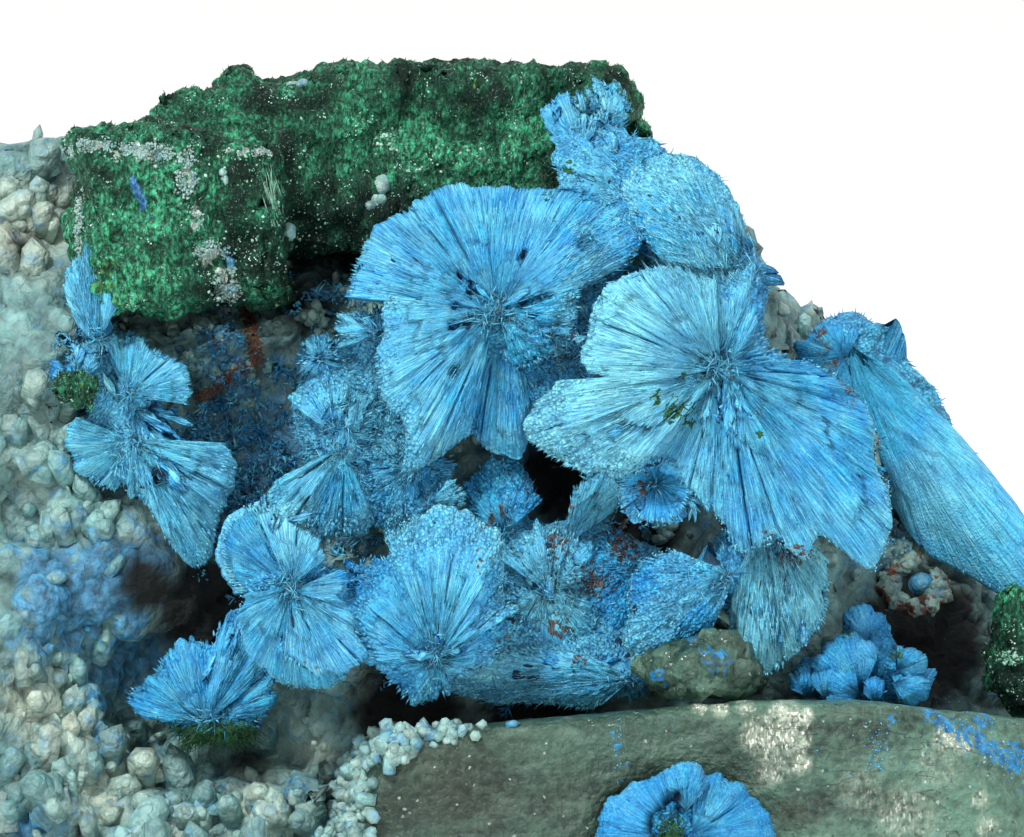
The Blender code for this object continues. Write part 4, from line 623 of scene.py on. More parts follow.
# Crystals crowded along the long crystal's left end and upper edge, in the same form.
CRUST_PATCHES = (
    (-7.0, 9.6, 0.8, 2.2, 150, 0.30), (-5.6, 11.2, 1.2, 0.7, 150, 0.28), (-3.4, 11.9, 1.4, 0.5, 120, 0.24),
    (-0.8, 12.4, 1.2, 0.4, 80, 0.20), (1.6, 12.8, 1.0, 0.3, 40, 0.16), (-7.4, 7.0, 0.7, 1.6, 110, 0.32),
    (-7.0, 4.2, 1.4, 1.0, 120, 0.34), (-5.0, 4.8, 0.9, 0.6, 50, 0.28),
)
# Broken quartz heaped between the fringe and the long crystal, in the same form, and its limits.
HEAP_PATCHES = (
    (8.4, 14.3, 1.3, 0.6, 90, 0.75), (7.4, 13.8, 0.8, 0.3, 40, 0.55), (10.4, 14.0, 1.0, 0.4, 50, 0.55),
    (8.9, 15.3, 0.5, 0.6, 30, 0.55),
)
HEAP_BACK = -2.0
HEAP_FOOT = 13.1
# Lumps that crust the rock, as (x, z, spread across, spread up, how many, size, blue, rust, pale).
LUMPS = (
    (-13.4, 28.8, 1.2, 1.4, 200, 0.12, 1.3, 0.0, 0.1), (-12.7, 25.0, 1.5, 1.8, 240, 0.13, 0.9, 0.0, 0.1),
    (-11.4, 22.6, 1.2, 1.2, 120, 0.13, 0.8, 0.0, 0.1), (-8.6, 31.3, 0.6, 0.2, 160, 0.12, 1.2, 0.0, 0.0),
    (-13.1, 30.2, 0.12, 0.8, 180, 0.11, 1.0, 0.0, 0.8), (17.6, 20.8, 0.7, 0.9, 200, 0.12, 0.8, 0.1, 0.2),
    (18.2, 22.4, 0.5, 0.8, 120, 0.12, 0.2, 0.7, 0.1), (-5.2, 25.6, 0.8, 1.2, 120, 0.12, 0.5, 0.4, 0.2),
    (-9.2, 20.6, 0.8, 0.6, 100, 0.13, 0.9, 0.0, 0.2),
) + tuple(
    (-12.6 + 0.95 * math.sin(k / 8), 31.4 - 0.26 * k, 0.26, 0.18, 60, 0.085, 0.0, 1.3, 0.1)
    for k in range(14)
) + tuple(
    (-12.3 - 0.24 * k, 27.9 - 0.17 * k, 0.26, 0.18, 60, 0.085, 0.0, 1.3, 0.1) for k in range(9)
)
# The blue ball in its rusty cup, and the beads that the cup's rim is made of:
# (x, z, spread across, spread up, how many, radius).
CUP_BALL = ((18.9, 17.9, 0.05, 0.05, 1, 0.66),)
CUP_BEADS = tuple(
    (18.6 + 1.2 * math.cos(k / 5), 17.9 + 1.05 * math.sin(k / 5), 0.14, 0.13, 9, 0.33) for k in range(9, 34))


def world_points(points):
    """Display millimetres to the frame's metres."""
    matrix = np.array(DISPLAY_TO_WORLD)
    return (points * MM) @ matrix[:3, :3].T + matrix[:3, 3]


def display_points(points):
    """The frame's metres to display millimetres."""
    matrix = np.array(DISPLAY_TO_WORLD.inverted())
    return (points @ matrix[:3, :3].T + matrix[:3, 3]) / MM


def mesh_values(items, name, width=3, kind=np.float32):
    """One property of all of a mesh's vertices, loops or faces, as an array."""
    values = np.empty(len(items) * width, kind)
    items.foreach_get(name, values)
    return values.reshape(-1, width)


def display_normals(mesh):
    """The vertex normals, in the display frame."""
    return mesh_values(mesh.vertices, "normal") @ np.array(DISPLAY_TO_WORLD)[:3, :3]


def unit(vectors):
    return vectors / np.maximum(np.linalg.norm(vectors, axis=-1, keepdims=True), 1e-9)


def laid_flat(ways, normals, share):
    """The ways turned by this share into the surface that has these normals."""
    return unit(ways - normals * np.sum(ways * normals, axis=1, keepdims=True) * share)


def blank(count, **values):
    """Vertex or fibre values, zero where not given."""
    filled = {label: np.zeros(count) for label in LABELS}
    filled.update(values)
    return filled


def drawn(rng, count, **spans):
    """Vertex or fibre values drawn between these limits in turn, zero where not given."""
    return blank(count, **{label: rng.uniform(low, high, count) for label, (low, high) in spans.items()})


def mesh_from(name, points, faces, sizes, values):
    """A mesh of one part."""
    mesh = bpy.data.meshes.new(name)
    mesh.vertices.add(len(points))
    mesh.vertices.foreach_set("co", world_points(points).astype(np.float32).ravel())
    mesh.loops.add(len(faces))
    mesh.loops.foreach_set("vertex_index", faces.astype(np.int32))
    mesh.polygons.add(len(sizes))
    starts = np.concatenate([[0], np.cumsum(sizes)[:-1]])
    mesh.polygons.foreach_set("loop_start", starts.astype(np.int32))
    mesh.update(calc_edges=True)
    for label, numbers in values.items():
        layer = mesh.attributes.new(label, "FLOAT", "POINT")
        layer.data.foreach_set("value", numbers.astype(np.float32))
    return mesh


def as_part(mesh):
    """The reverse of mesh_from, for an ordinary mesh in the frame's metres, with blank values."""
    faces = mesh_values(mesh.loops, "vertex_index", 1, np.int32).ravel()
    sizes = mesh_values(mesh.polygons, "loop_total", 1, np.int32).ravel()
    return display_points(mesh_values(mesh.vertices, "co")), faces, sizes, blank(len(mesh.vertices))


def copies(points, pattern, sizes, values):
    """A part of many small bodies alike: points by body and corner, and one body's faces as a pattern."""
    count, corners, _ = points.shape
    faces = (np.array(pattern) + corners * np.arange(count)[:, None]).ravel()
    filled = {label: np.repeat(values[label], corners) for label in LABELS}
    return points.reshape(-1, 3), faces, np.tile(sizes, count), filled


def placed(name, data):
    """An object in the scene."""
    obj = bpy.data.objects.new(name, data)
    bpy.context.scene.collection.objects.link(obj)
    return obj


def piece_from(name, parts, slot, *nodes):
    """A visible piece of these parts, which rides on the specimen and stands for these solids."""
    starts = np.cumsum([0] + [len(part[0]) for part in parts])
    points, sizes = (np.concatenate([part[k] for part in parts]) for k in (0, 2))
    faces = np.concatenate([part[1] + start for part, start in zip(parts, starts)])
    values = {label: np.concatenate([part[3][label] for part in parts]) for label in LABELS}
    mesh = mesh_from(name, points, faces, sizes, values)
    mesh.materials.append(finishes[slot])
    obj = placed(name, mesh)
    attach(obj, "root")
    if nodes:
        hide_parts(*nodes)
    return obj


def fibres(base, tip, outward, width, values):
    """Closed three-sided needles from base to tip, with a ridge outward."""
    along = unit(tip - base)
    side = unit(np.cross(along, outward))
    ridge = np.cross(side, along)
    half = width[:, None] / 2
    corners = [base - side * half, base + ridge * half * NEEDLE_RIDGE, base + side * half, tip]
    part = copies(np.stack(corners, axis=1), NEEDLE_FACES, (3,) * 4, values)
    part[3]["along"] = np.tile([0.0, 0.0, 0.0, 1.0], len(base))
    return part


def crumbs(places, normals, size, values, seed):
    """Small eight-faced grains, each squashed and turned at random."""
    rng = np.random.default_rng(seed)
    count = len(places)
    axis = unit(normals + 0.8 * rng.normal(0, 1, (count, 3)))
    side = unit(np.cross(axis, rng.normal(0, 1, (count, 3))))
    other = np.cross(axis, side)
    points = np.stack([
        places + spoke * (size * rng.uniform(0.6, 1.2, count))[:, None]
        for spoke in (side, other, -side, -other, axis, -axis)], axis=1)
    return copies(points, CRUMB_FACES, (3,) * 8, values)


def pebbles(places, size, values, rounds, dent, seed):
    """Rounded grains, each squashed and dented at random; more rounds make them rounder."""
    rng = np.random.default_rng(seed)
    bm = bmesh.new()
    bmesh.ops.create_icosphere(bm, subdivisions=rounds, radius=1.0)
    ball = np.array([vert.co for vert in bm.verts])
    pattern = [vert.index for face in bm.faces for vert in face.verts]
    bm.free()
    count = len(places)
    stretch = rng.uniform(0.7, 1.3, (count, 1, 3)) * size[:, None, None]
    dents = 1 + dent * rng.normal(0, 1, (count, len(ball), 1))
    points = places[:, None, :] + ball[None, :, :] * stretch * dents
    return copies(points, pattern, (3,) * (len(pattern) // 3), values)


def crystals(foot, way, length, radius, values, seed):
    """Six-sided quartz points, closed at the foot, each turned at random about its own length."""
    rng = np.random.default_rng(seed)
    count = len(foot)
    along = unit(way)
    spare = np.where(np.abs(along[:, 2:3]) < 0.9, np.array([[0.0, 0.0, 1.0]]), np.array([[1.0, 0.0, 0.0]]))
    side = unit(np.cross(along, spare))
    other = np.cross(along, side)
    turn = rng.uniform(0, 2 * math.pi, count)
    shoulder = rng.uniform(0.60, 0.88, count)[:, None] * length[:, None]
    corners = range(CRYSTAL_SIDES)
    rings = []
    for reach, share in ((0.0, 1.0), (1.0, CRYSTAL_TAPER)):
        for corner in corners:
            angle = (turn + corner * math.pi / 3)[:, None]
            spoke = (side * np.cos(angle) + other * np.sin(angle)) * radius[:, None] * share
            rings.append(foot + along * shoulder * reach + spoke)
    lean = side * rng.normal(0, 0.25, (count, 1)) + other * rng.normal(0, 0.25, (count, 1))
    points = np.stack(rings + [foot + along * length[:, None] + lean * radius[:, None]], axis=1)
    pairs = [(corner, (corner + 1) % CRYSTAL_SIDES) for corner in corners]
    walls = [(here, there, CRYSTAL_SIDES + there, CRYSTAL_SIDES + here) for here, there in pairs]
    slopes = [(CRYSTAL_SIDES + here, CRYSTAL_SIDES + there, 2 * CRYSTAL_SIDES) for here, there in pairs]
    pattern = np.concatenate([CRYSTAL_FOOT_FACE, *walls, *slopes])
    sizes = (CRYSTAL_SIDES,) + (4,) * CRYSTAL_SIDES + (3,) * CRYSTAL_SIDES
    part = copies(points, pattern, sizes, values)
    part[3]["along"] = np.tile([0.0] * CRYSTAL_SIDES + [0.6] * CRYSTAL_SIDES + [1.0], count)
    return part


def catmull(before, start, end, after, share):
    return 0.5 * (
        2 * start + (end - before) * share + (2 * before - 5 * start + 4 * end - after) * share ** 2
        + (3 * start - before - 3 * end + after) * share ** 3)


def rim_at(rim, degrees):
    """Radius and stand toward the viewer at these angles, as in the solids."""
    table = np.array(rim)
    last = len(table) - 1
    i = np.clip(np.searchsorted(table[:, 0], degrees) - 1, 0, last - 1)
    share = (degrees - table[i, 0]) / (table[i + 1, 0] - table[i, 0])
    around = [np.clip(i + k, 0, last) for k in (-1, 0, 1, 2)]
    return tuple(catmull(*(table[k, part] for k in around), share) for part in (1, 2))


def hashed(values, seed):
    """A repeatable random number from 0 to 1 for each whole number."""
    return np.modf(np.abs(np.sin(values * HASH_STEPS[0] + seed * HASH_STEPS[1]) * HASH_SCALE))[0]


def waver(degrees, wedge, seed):
    """Smooth random values, from 0 to 1, that change over about this many degrees."""
    place = degrees / wedge
    cell = np.floor(place)
    share = place - cell
    blend = share * share * (3 - 2 * share)
    return hashed(cell, seed) * (1 - blend) + hashed(cell + 1, seed) * blend


def ropes(degrees, wedge, seed):
    """Round-topped ridges side by side, about this many degrees wide, with sharp grooves between them."""
    place = (degrees + 0.9 * wedge * waver(degrees, 2.5 * wedge, seed + 1)) / wedge
    cell = np.floor(place)
    share = place - cell
    crest = np.sqrt(np.clip(4 * share * (1 - share), 0, 1))
    return crest * (0.45 + 0.55 * hashed(cell, seed)), cell


def sheet_point(spray, degrees, share, jag=0.0):
    """A place on the spray's sheet; jag lengthens or shortens the rays, in millimetres."""
    apex, _, dome, rim = spray
    radius, toward = rim_at(rim, degrees)
    reach = share * (radius + jag)
    angle = np.radians(degrees)
    swell = dome * 4 * share * (1 - share)
    return np.stack([
        apex[0] + reach * np.cos(angle), apex[1] - toward * share - swell,
        apex[2] + reach * np.sin(angle)], axis=-1)


def sheet_outward(spray, degrees, share):
    """The sheet's normal, toward the viewer."""
    near = np.maximum(share, 0.02)
    step_out = sheet_point(spray, degrees, near + 0.01) - sheet_point(spray, degrees, near)
    step_round = sheet_point(spray, degrees + 0.5, near) - sheet_point(spray, degrees, near)
    normal = unit(np.cross(step_out, step_round))
    return normal * np.where(normal[:, 1:2] > 0, -1, 1)


def rim_measures(rim):
    """The length of a rim and the area inside it, in millimetres."""
    radius, _ = rim_at(rim, np.linspace(rim[0][0], rim[-1][0], 60))
    turn = np.radians(rim[-1][0] - rim[0][0])
    return float(np.mean(radius) * turn), float(np.mean(radius ** 2) * turn / 2)


def spots_at(points, spots):
    """How strongly these spots, each (x, z, radius, strength), mark the points."""
    strength = np.zeros(len(points))
    for x, z, radius, most in spots:
        away = np.hypot(points[:, 0] - x, points[:, 2] - z) / radius
        strength = np.maximum(strength, most * np.clip(1.4 - away, 0, 1))
    return strength


def noise_at(points, grain, seed):
    """Smooth noise, about -1 to 1, at display points."""
    shift = Vector((seed, 0.37 * seed, 5.0))
    return np.array([noise.noise(Vector(p) / grain + shift) for p in points])


def cobbles(points, size, seed):
    """Packed rounded grains of this size: height, 0 in the cracks to 1, and a random number for each."""
    shift = Vector((seed, 1.7 * seed, 9.0))
    along_x, along_y, along_z = GRAIN_HASH_STEPS
    heights, tones = np.empty(len(points)), np.empty(len(points))
    for number, point in enumerate(points):
        distances, (centre, *_) = noise.voronoi(Vector(point) / size + shift)
        heights[number] = min(1.0, 1.6 * (distances[1] - distances[0]))
        wave = math.sin(centre.x * along_x + centre.y * along_y + centre.z * along_z)
        tones[number] = math.modf(abs(wave * GRAIN_HASH_SCALE))[0]
    return np.sqrt(heights), tones


def facets(points, size, seed):
    """Height of a broken surface: each cell, about this size, a flat flake tilted its own way."""
    shift = Vector((seed, 2.3 * seed, 4.0))
    heights = np.empty(len(points))
    for number, point in enumerate(points):
        place = Vector(point) / size + shift
        centre = noise.voronoi(place)[1][0]
        heights[number] = (place - centre).dot(noise.cell_vector(centre) - Vector((0.5, 0.5, 0.5)))
    return heights


def moved_out(mesh, heights):
    """Moves a mesh's points along their normals by these heights, in millimetres."""
    points, normals = mesh_values(mesh.vertices, "co"), mesh_values(mesh.vertices, "normal")
    moved = points + normals * (heights * MM)[:, None]
    mesh.vertices.foreach_set("co", moved.astype(np.float32).ravel())
    mesh.update()


def tier_relief(radius, mean_radius, style, degrees, reach, tier, seed):
    """One tier of a sheet's blades: where each ends, as a share of the radius, its height, tone, place along
    its fibres, depth in crevices, and the fibres' angle. Each blade's fibres start a little off the apex."""
    low, high, breadth, stray, _ = TIERS[tier]
    round_rim = 2 * math.pi * mean_radius
    blade = 360 / max(7, round(round_rim * (low + high) / 2 / (BLADE_WIDTH * breadth)))
    place = degrees / blade + 0.7 * waver(degrees, 2.3 * blade, seed)
    cell = np.floor(place)
    local = place - cell
    middle = degrees - (local - 0.5) * blade
    stray = stray * mean_radius * (0.4 + 1.2 * style["mess"])
    turn = np.radians(degrees - middle)
    ahead = reach * np.cos(turn) - stray * (hashed(cell, seed + 21) - 0.6)
    aside = reach * np.sin(turn) - stray * 2 * (hashed(cell, seed + 22) - 0.5)
    angle = middle + np.degrees(np.arctan2(aside, np.maximum(ahead, 0.12)))
    strand, _ = ropes(angle, 360 * STRAND_WIDTH / round_rim, seed + 3)
    drift = reach / 1.1
    step = np.floor(drift)
    mix = drift - step
    column = np.round(angle * round_rim / 360 / HAIR_WIDTH)
    hair = hashed(column + 977 * step, seed) * (1 - mix) + hashed(column + 977 * (step + 1), seed) * mix
    frayed = (0.10 * strand + 0.07 * hair) * (0.5 + 0.5 * (high > 1))
    end = low + (high - low) * hashed(cell, seed + 2) - frayed
    if tier:
        end = end * (hashed(cell, seed + 11) > 0.30 * (tier == 1) * (0.5 + style["silk"]))
    shingle_length = (0.9 + 2.2 * hashed(cell, seed + 9)) * (0.6 + 0.9 * style["silk"])
    phase = reach / shingle_length + hashed(cell, seed + 4) + 0.35 * strand + 0.20 * hair
    phase = phase - np.floor(phase)
    gap = np.minimum(local, 1 - local) * blade * np.radians(1) * reach
    open_gap = hashed(np.round(place), seed + 17) < 0.42 - 0.22 * style["silk"]
    starts = 0.1 + 0.7 * hashed(np.round(place), seed + 16)
    crevice = np.clip(1 - gap / 0.07, 0, 1) * open_gap * np.clip((reach / radius - starts) * 9, 0, 1)
    tilt = 2 * hashed(cell, seed + 1) - 1
    height = (
        BLADE_TILT * tilt * (local - 0.5) + BLADE_STEP * (hashed(cell, seed + 5) - 0.5)
        + STRAND_HEIGHT * (strand - 0.5) + HAIR_HEIGHT * 2 * (hair - 0.5)
        + SHINGLE_HEIGHT * (phase ** 1.4 - 0.4))
    # Strands are painted darker in their grooves and shingles darker at their feet, as shade, and lighter at
    # their raised ends, as light.
    tone = 0.22 * (hashed(cell, seed + 6) - 0.5) + (
        0.24 * (strand - 0.6) + 0.40 * (hair - 0.5) + 0.12 * (phase - 0.5))
    return end, height, tone, phase, crevice, angle


def sheet_relief(spray, style, degrees, share, grain, seed):
    """Height of a sheet's overlapping tiers of blades in millimetres, its tone, how far along its fibres
    each place is, how deep in a crevice, and the angle of its fibres."""
    radius, _ = rim_at(spray[3], degrees)
    reach = share * radius
    mean_radius = float(np.mean(radius))
    tiers = [
        tier_relief(radius, mean_radius, style, degrees, reach, tier, seed + TIER_SEED_STEP * tier)
        for tier in range(len(TIERS))]
    lowest_end, height, tone, *others = tiers[0]
    for (*_, stand), (end, upper, upper_tone, *upper_others) in zip(TIERS[1:], tiers[1:]):
        over = share < end
        # Painted shadow: an upper tier darkens the tier below just past its own end, and is painted a little
        # lighter itself.
        shade = np.clip(1 - (share - end) * radius / 0.30, 0, 1) * (end > 0)
        height = np.where(over, 0.5 * height + upper + stand, height)
        tone = np.where(over, upper_tone + 0.05, tone - 0.22 * shade)
        others = [np.where(over, new, old) for new, old in zip(upper_others, others)]
    phase, crevice, angle = others
    # Past the lowest tier's end the sheet steps down and is painted darker there as shade.
    past = np.clip((share - lowest_end) * radius / 0.12, 0, 1)
    ramp = np.clip(reach / 1.0, 0.15, 1)
    smooth = 1 - 0.7 * grain
    height = ramp * smooth * (height - BLADE_STEP * past) - CREVICE_DEPTH * crevice * smooth
    return height, 0.48 + smooth * tone - 0.12 * past, phase, crevice * smooth, angle


def felt(points, grain, mess, seed):
    """What isn't radial in a sheet's relief: height, tone and cracks of tangled fibres and velvety tips."""
    broad, fine = noise_at(points, 1.3, seed), noise_at(points, 0.38, seed + 7)
    clumps, hue = cobbles(points, 0.75, seed + 2)
    tips, shade = cobbles(points, 0.26, seed)
    height = 0.10 * broad + (0.04 + 0.12 * mess) * fine
    height = height + grain * (0.13 * (tips - 0.7) + 0.18 * (clumps - 0.7))
    velvet = 0.30 * (tips - 0.7) + 0.28 * (shade - 0.5) + 0.22 * (hue - 0.5) + 0.2 * (clumps - 0.7)
    tone = 0.18 * broad + 0.14 * fine + grain * velvet
    # The third value is painted shade in the cracks between the velvety tips.
    return height, tone, 0.8 * grain * np.clip(1.0 - tips, 0, 1) ** 2


def marked(points, share, style):
    """Colour values that depend on the place on the face: pale, rust, bare rock (three spots of it painted
    shade), olive and deep blue.
    """
    pale = style["pale"] * (0.35 + 0.65 * share)
    pale = pale + spots_at(points, PALE_SPOTS) - spots_at(points, DEEP_SPOTS)
    return pale, {
        label: np.clip(spots_at(points, spots), 0, 1)
        for label, spots in (("rust", RUST_SPOTS), ("dark", BARE_SPOTS), ("olive", OLIVE_SPOTS))}


def shell_faces(counts, wraps):
    """The faces of a closed shell whose rings, of so many points each, lie between point 0 in front and one
    last point behind. The steps of a ring go evenly into the next one's, or the other way round."""
    starts = 1 + np.cumsum([0] + counts)
    steps = np.array(counts) - (not wraps)
    faces, sizes = [], []

    def add(*corners):
        faces.append(np.stack(corners, axis=1).ravel())
        sizes.append(np.full(len(corners[0]), len(corners)))

    def ring(number, step):
        return starts[number] + (step % counts[number] if wraps else step)

    turns = np.arange(steps[0])
    add(np.zeros(len(turns), int), ring(0, turns), ring(0, turns + 1))
    for number, (here, after) in enumerate(zip(steps, steps[1:])):
        turns = np.arange(min(here, after))
        inner, outer = here // len(turns), after // len(turns)
        add(
            ring(number, inner * turns), *(ring(number + 1, outer * turns + k) for k in range(outer + 1)),
            *(ring(number, inner * turns + k) for k in range(inner, 0, -1)))
    final, tail = len(counts) - 1, starts[-1]
    turns = np.arange(steps[final])
    add(ring(final, turns), np.full(len(turns), tail), ring(final, turns + 1))
    if not wraps:
        edges = [np.concatenate([[0], corners, [tail]]) for corners in (starts[:-1], starts[1:] - 1)]
        for edge in (edges[0][::-1], edges[1]):
            faces.append(edge)
            sizes.append(np.array([len(edge)]))
    return np.concatenate(faces), np.concatenate(sizes)


def sheet(spray, style, seed):
    """One spray as a closed shell: ridged and stepped in front, plainer behind."""
    apex, backing, _, rim = spray
    first, last = rim[0][0], rim[-1][0]
    wraps = last - first >= 360
    spread, _ = rim_measures(rim)
    columns = 4 * max(6, round(spread / COLUMN_STEP / 4))
    mean_radius = spread / np.radians(last - first)
    rows = max(6, round(mean_radius / ROW_STEP))
    plan = [(k / rows, 0.0) for k in range(1, rows + 1)]
    plan += [(1.0, 0.5)] + [(share, 1.0) for share in BACK_ROWS]
    steps = [
        columns // (4 if share < QUARTER_WITHIN else 2 if share < HALF_WITHIN or depth > 0.6 else 1)
        for share, depth in plan]
    counts = [number + (not wraps) for number in steps]
    degrees = np.concatenate([
        first + (last - first) * np.arange(count) / number for count, number in zip(counts, steps)])
    share, depth = (np.repeat(column, counts) for column in zip(*plan))

    mess, soft = style["mess"], style["soft"]
    jag = 0.10 * hashed(np.round(degrees / 0.5), seed + 2) + 0.30 * (waver(degrees, 3.0, seed + 5) - 0.6)
    jag = (jag + 0.7 * (waver(degrees, 11.0, seed + 6) - 0.6)) * (0.6 + mess) * (1 - 0.6 * soft)
    surface = sheet_point(spray, degrees, share, jag)
    front = depth == 0
    edge_noise = noise_at(surface, 1.0, seed + 40)
    grain = np.clip((share - 1 + style["grain"]) * 5 + 0.8 * edge_noise, 0, 1) * (style["grain"] > 0.04)
    height, tone, phase, crevice, angle = sheet_relief(spray, style, degrees, share, grain, seed)
    tangle, shade, cracks = felt(surface, grain, mess, seed)
    keep = 1 - soft
    height = keep * (height + tangle - 0.12 * np.clip((share - 0.9) / 0.1, 0, 1) ** 2)
    # bright is partly painted light on sprays lying in shade.
    tone = MIDDLE_TONE + keep * (tone + shade - MIDDLE_TONE) + style["bright"]
    tone = tone + 0.30 * soft * (noise_at(surface, 1.4, seed + 50) + 0.5 * noise_at(surface, 0.4, seed + 51))
    pits = spots_at(surface, PITS)
    thickness = backing * (1 - RIM_THINNING * share)
    offset = np.where(front, height - PIT_DEPTH * pits, -thickness * depth - 0.4 * height)
    points = surface + sheet_outward(spray, degrees, share) * offset[:, None]
    centre = np.array([apex])
    points = np.concatenate([centre, points, centre + np.array([[0.0, backing, 0.0]])])

    pale, marks = marked(surface, share, style)
    pale = pale + style["edge"] * np.clip((share - 0.95) / 0.05, 0, 1)
    pale = pale + 0.25 * noise_at(surface, 0.9, seed + 30) + 0.22 * (waver(degrees, 9.0, seed + 8) - 0.5)
    heart = np.clip(0.75 - share * mean_radius / 1.5, 0, 1)
    # Near black toward the apex, and as painted shade in pits, crevices and cracks; the back is painted
    # darker as shade under the front.
    filled = {
        "tone": np.clip(tone - 0.3 * (~front), 0, 1), "along": np.where(front, phase, 0.2),
        "pale": np.clip(pale, 0, 1) * np.where(front, 1, 0.5),
        "core": np.clip(0.6 * heart + 1.5 * pits + 0.8 * keep * crevice + 0.7 * keep * cracks, 0, 1),
        "grain": (grain * keep + 0.30 * soft) * front,
        "across": angle * np.radians(1) * mean_radius + seed, "reach": share * mean_radius, **marks}
    values = {label: np.concatenate([[0], numbers, [0]]) for label, numbers in filled.items()}
    return points, *shell_faces(counts, wraps), blank(len(points), **values)


def loose_fibres(spray, style, count, seed):
    """Single fibres lying on a spray's sheet, more of them and more astray where it is a mess."""
    rng = np.random.default_rng(seed)
    rim, mess = spray[3], style["mess"]
    count = max(4, round(count * (0.35 + 1.6 * mess)))
    degrees = rng.uniform(rim[0][0], rim[-1][0], 4 * count)
    radius, _ = rim_at(rim, degrees)
    keep = rng.uniform(0, 1, 4 * count) < (radius / radius.max()) ** 2
    degrees, radius = degrees[keep][:count], radius[keep][:count]
    count = len(degrees)
    hearty = rng.uniform(0, 1, count) < 0.30
    tip_share = np.where(
        hearty, rng.uniform(0.3, 1.9, count) / radius, np.sqrt(rng.uniform(0.01, 1.0, count)))
    tip_share = np.minimum(tip_share, 0.98)
    short = (tip_share > 1 - style["grain"]) & (rng.uniform(0, 1, count) < 0.9)
    length = np.where(
        short, rng.uniform(0.12, 0.30, count), rng.uniform(0.4, 1.3, count) * (0.5 + 0.8 * style["silk"]))
    base_share = np.maximum(tip_share - length / radius, 0.01)
    stray = rng.normal(0, 1, count) * (0.02 + mess + 2.5 * hearty / (1 + 3 * base_share * radius)) * 9.0
    tip_degrees = np.clip(degrees + stray * (tip_share - base_share), rim[0][0], rim[-1][0])
    outward = sheet_outward(spray, tip_degrees, tip_share)
    grain = short * 1.0
    own_seed = seed_of(spray)
    base_height, *_ = sheet_relief(spray, style, degrees, base_share, grain, own_seed)
    tip_height, tone, _, crevice, _ = sheet_relief(spray, style, tip_degrees, tip_share, grain, own_seed)
    lift = rng.uniform(0.0, 0.03, count) + np.where(short, rng.uniform(0.0, 0.10, count), 0)
    lift = lift + (mess + hearty) * rng.exponential(0.10, count)
    base = sheet_point(spray, degrees, base_share) + outward * (base_height - 0.03)[:, None]
    tip = sheet_point(spray, tip_degrees, tip_share) + outward * (tip_height + lift)[:, None]
    width = np.where(short, rng.uniform(0.07, 0.12, count), rng.uniform(0.04, 0.075, count))
    stay = rng.uniform(0, 1, count) > 2 * spots_at(tip, PITS) + 2 * crevice
    pale, marks = marked(tip, tip_share, style)
    values = blank(
        count, tone=np.clip(tone + style["bright"] + 0.12 * rng.normal(0, 1, count) + 0.05, 0, 1),
        pale=np.clip(pale + 0.10 * rng.normal(0, 1, count) + 0.04, 0, 1),
        core=np.where(rng.uniform(0, 1, count) < 0.4, np.clip(0.7 - tip_share * radius / 1.5, 0, 1), 0),
        across=rng.uniform(*ANYWHERE, count), **marks)
    values = {label: numbers[stay] for label, numbers in values.items()}
    return fibres(base[stay], tip[stay], outward[stay], width[stay], values)


def rim_tips(spray, style, count, seed):
    """Blunt fibre ends standing out a little past a spray's rim, and pale crumbs on it where it is edged."""
    rng = np.random.default_rng(seed)
    rim, mess, edge = spray[3], style["mess"], style["edge"]
    count = max(4, round(count * (0.45 + 1.2 * mess)))
    degrees = rng.uniform(rim[0][0], rim[-1][0], count)
    depth = rng.uniform(0, 0.6, count) * spray[1] * (1 - RIM_THINNING)
    share = np.full(count, 1.0)
    outward = sheet_outward(spray, degrees, share)
    radial = unit(sheet_point(spray, degrees, share) - sheet_point(spray, degrees, share * 0.9))
    stand = rng.uniform(-0.05, 0.05, count) + mess * rng.exponential(0.05, count)
    aslant = rng.normal(0, 0.12 + 0.4 * mess, (count, 3))
    base = sheet_point(spray, degrees, share, -0.36) - outward * (depth + 0.06)[:, None]
    tip = base + unit(radial + aslant + outward * 0.10) * (0.34 + stand)[:, None]
    pale, marks = marked(tip, share, style)
    values = blank(
        count, tone=rng.uniform(0.25, 0.8, count),
        pale=np.clip(pale + edge + 0.15 * rng.normal(0, 1, count), 0, 1),
        across=rng.uniform(*ANYWHERE, count), **marks)
    ends = fibres(base, tip, outward, rng.uniform(0.10, 0.17, count), values)
    count = round(rim_measures(rim)[0] * 60 * edge) if edge > 0.3 else 1
    degrees = rng.uniform(rim[0][0], rim[-1][0], count)
    share = 1 - 0.035 * rng.exponential(1, count)
    outward = sheet_outward(spray, degrees, share)
    places = sheet_point(spray, degrees, share) - outward * rng.uniform(0.0, 0.3, count)[:, None]
    size = rng.uniform(0.025, 0.065, count)
    values = drawn(rng, count, tone=(0.3, 0.9), pale=(0.2, 0.9), rust=(0, 1), across=ANYWHERE)
    values["rust"] = (values["rust"] < 0.05) * 2.0
    return ends, crumbs(places, outward, size, values, seed)


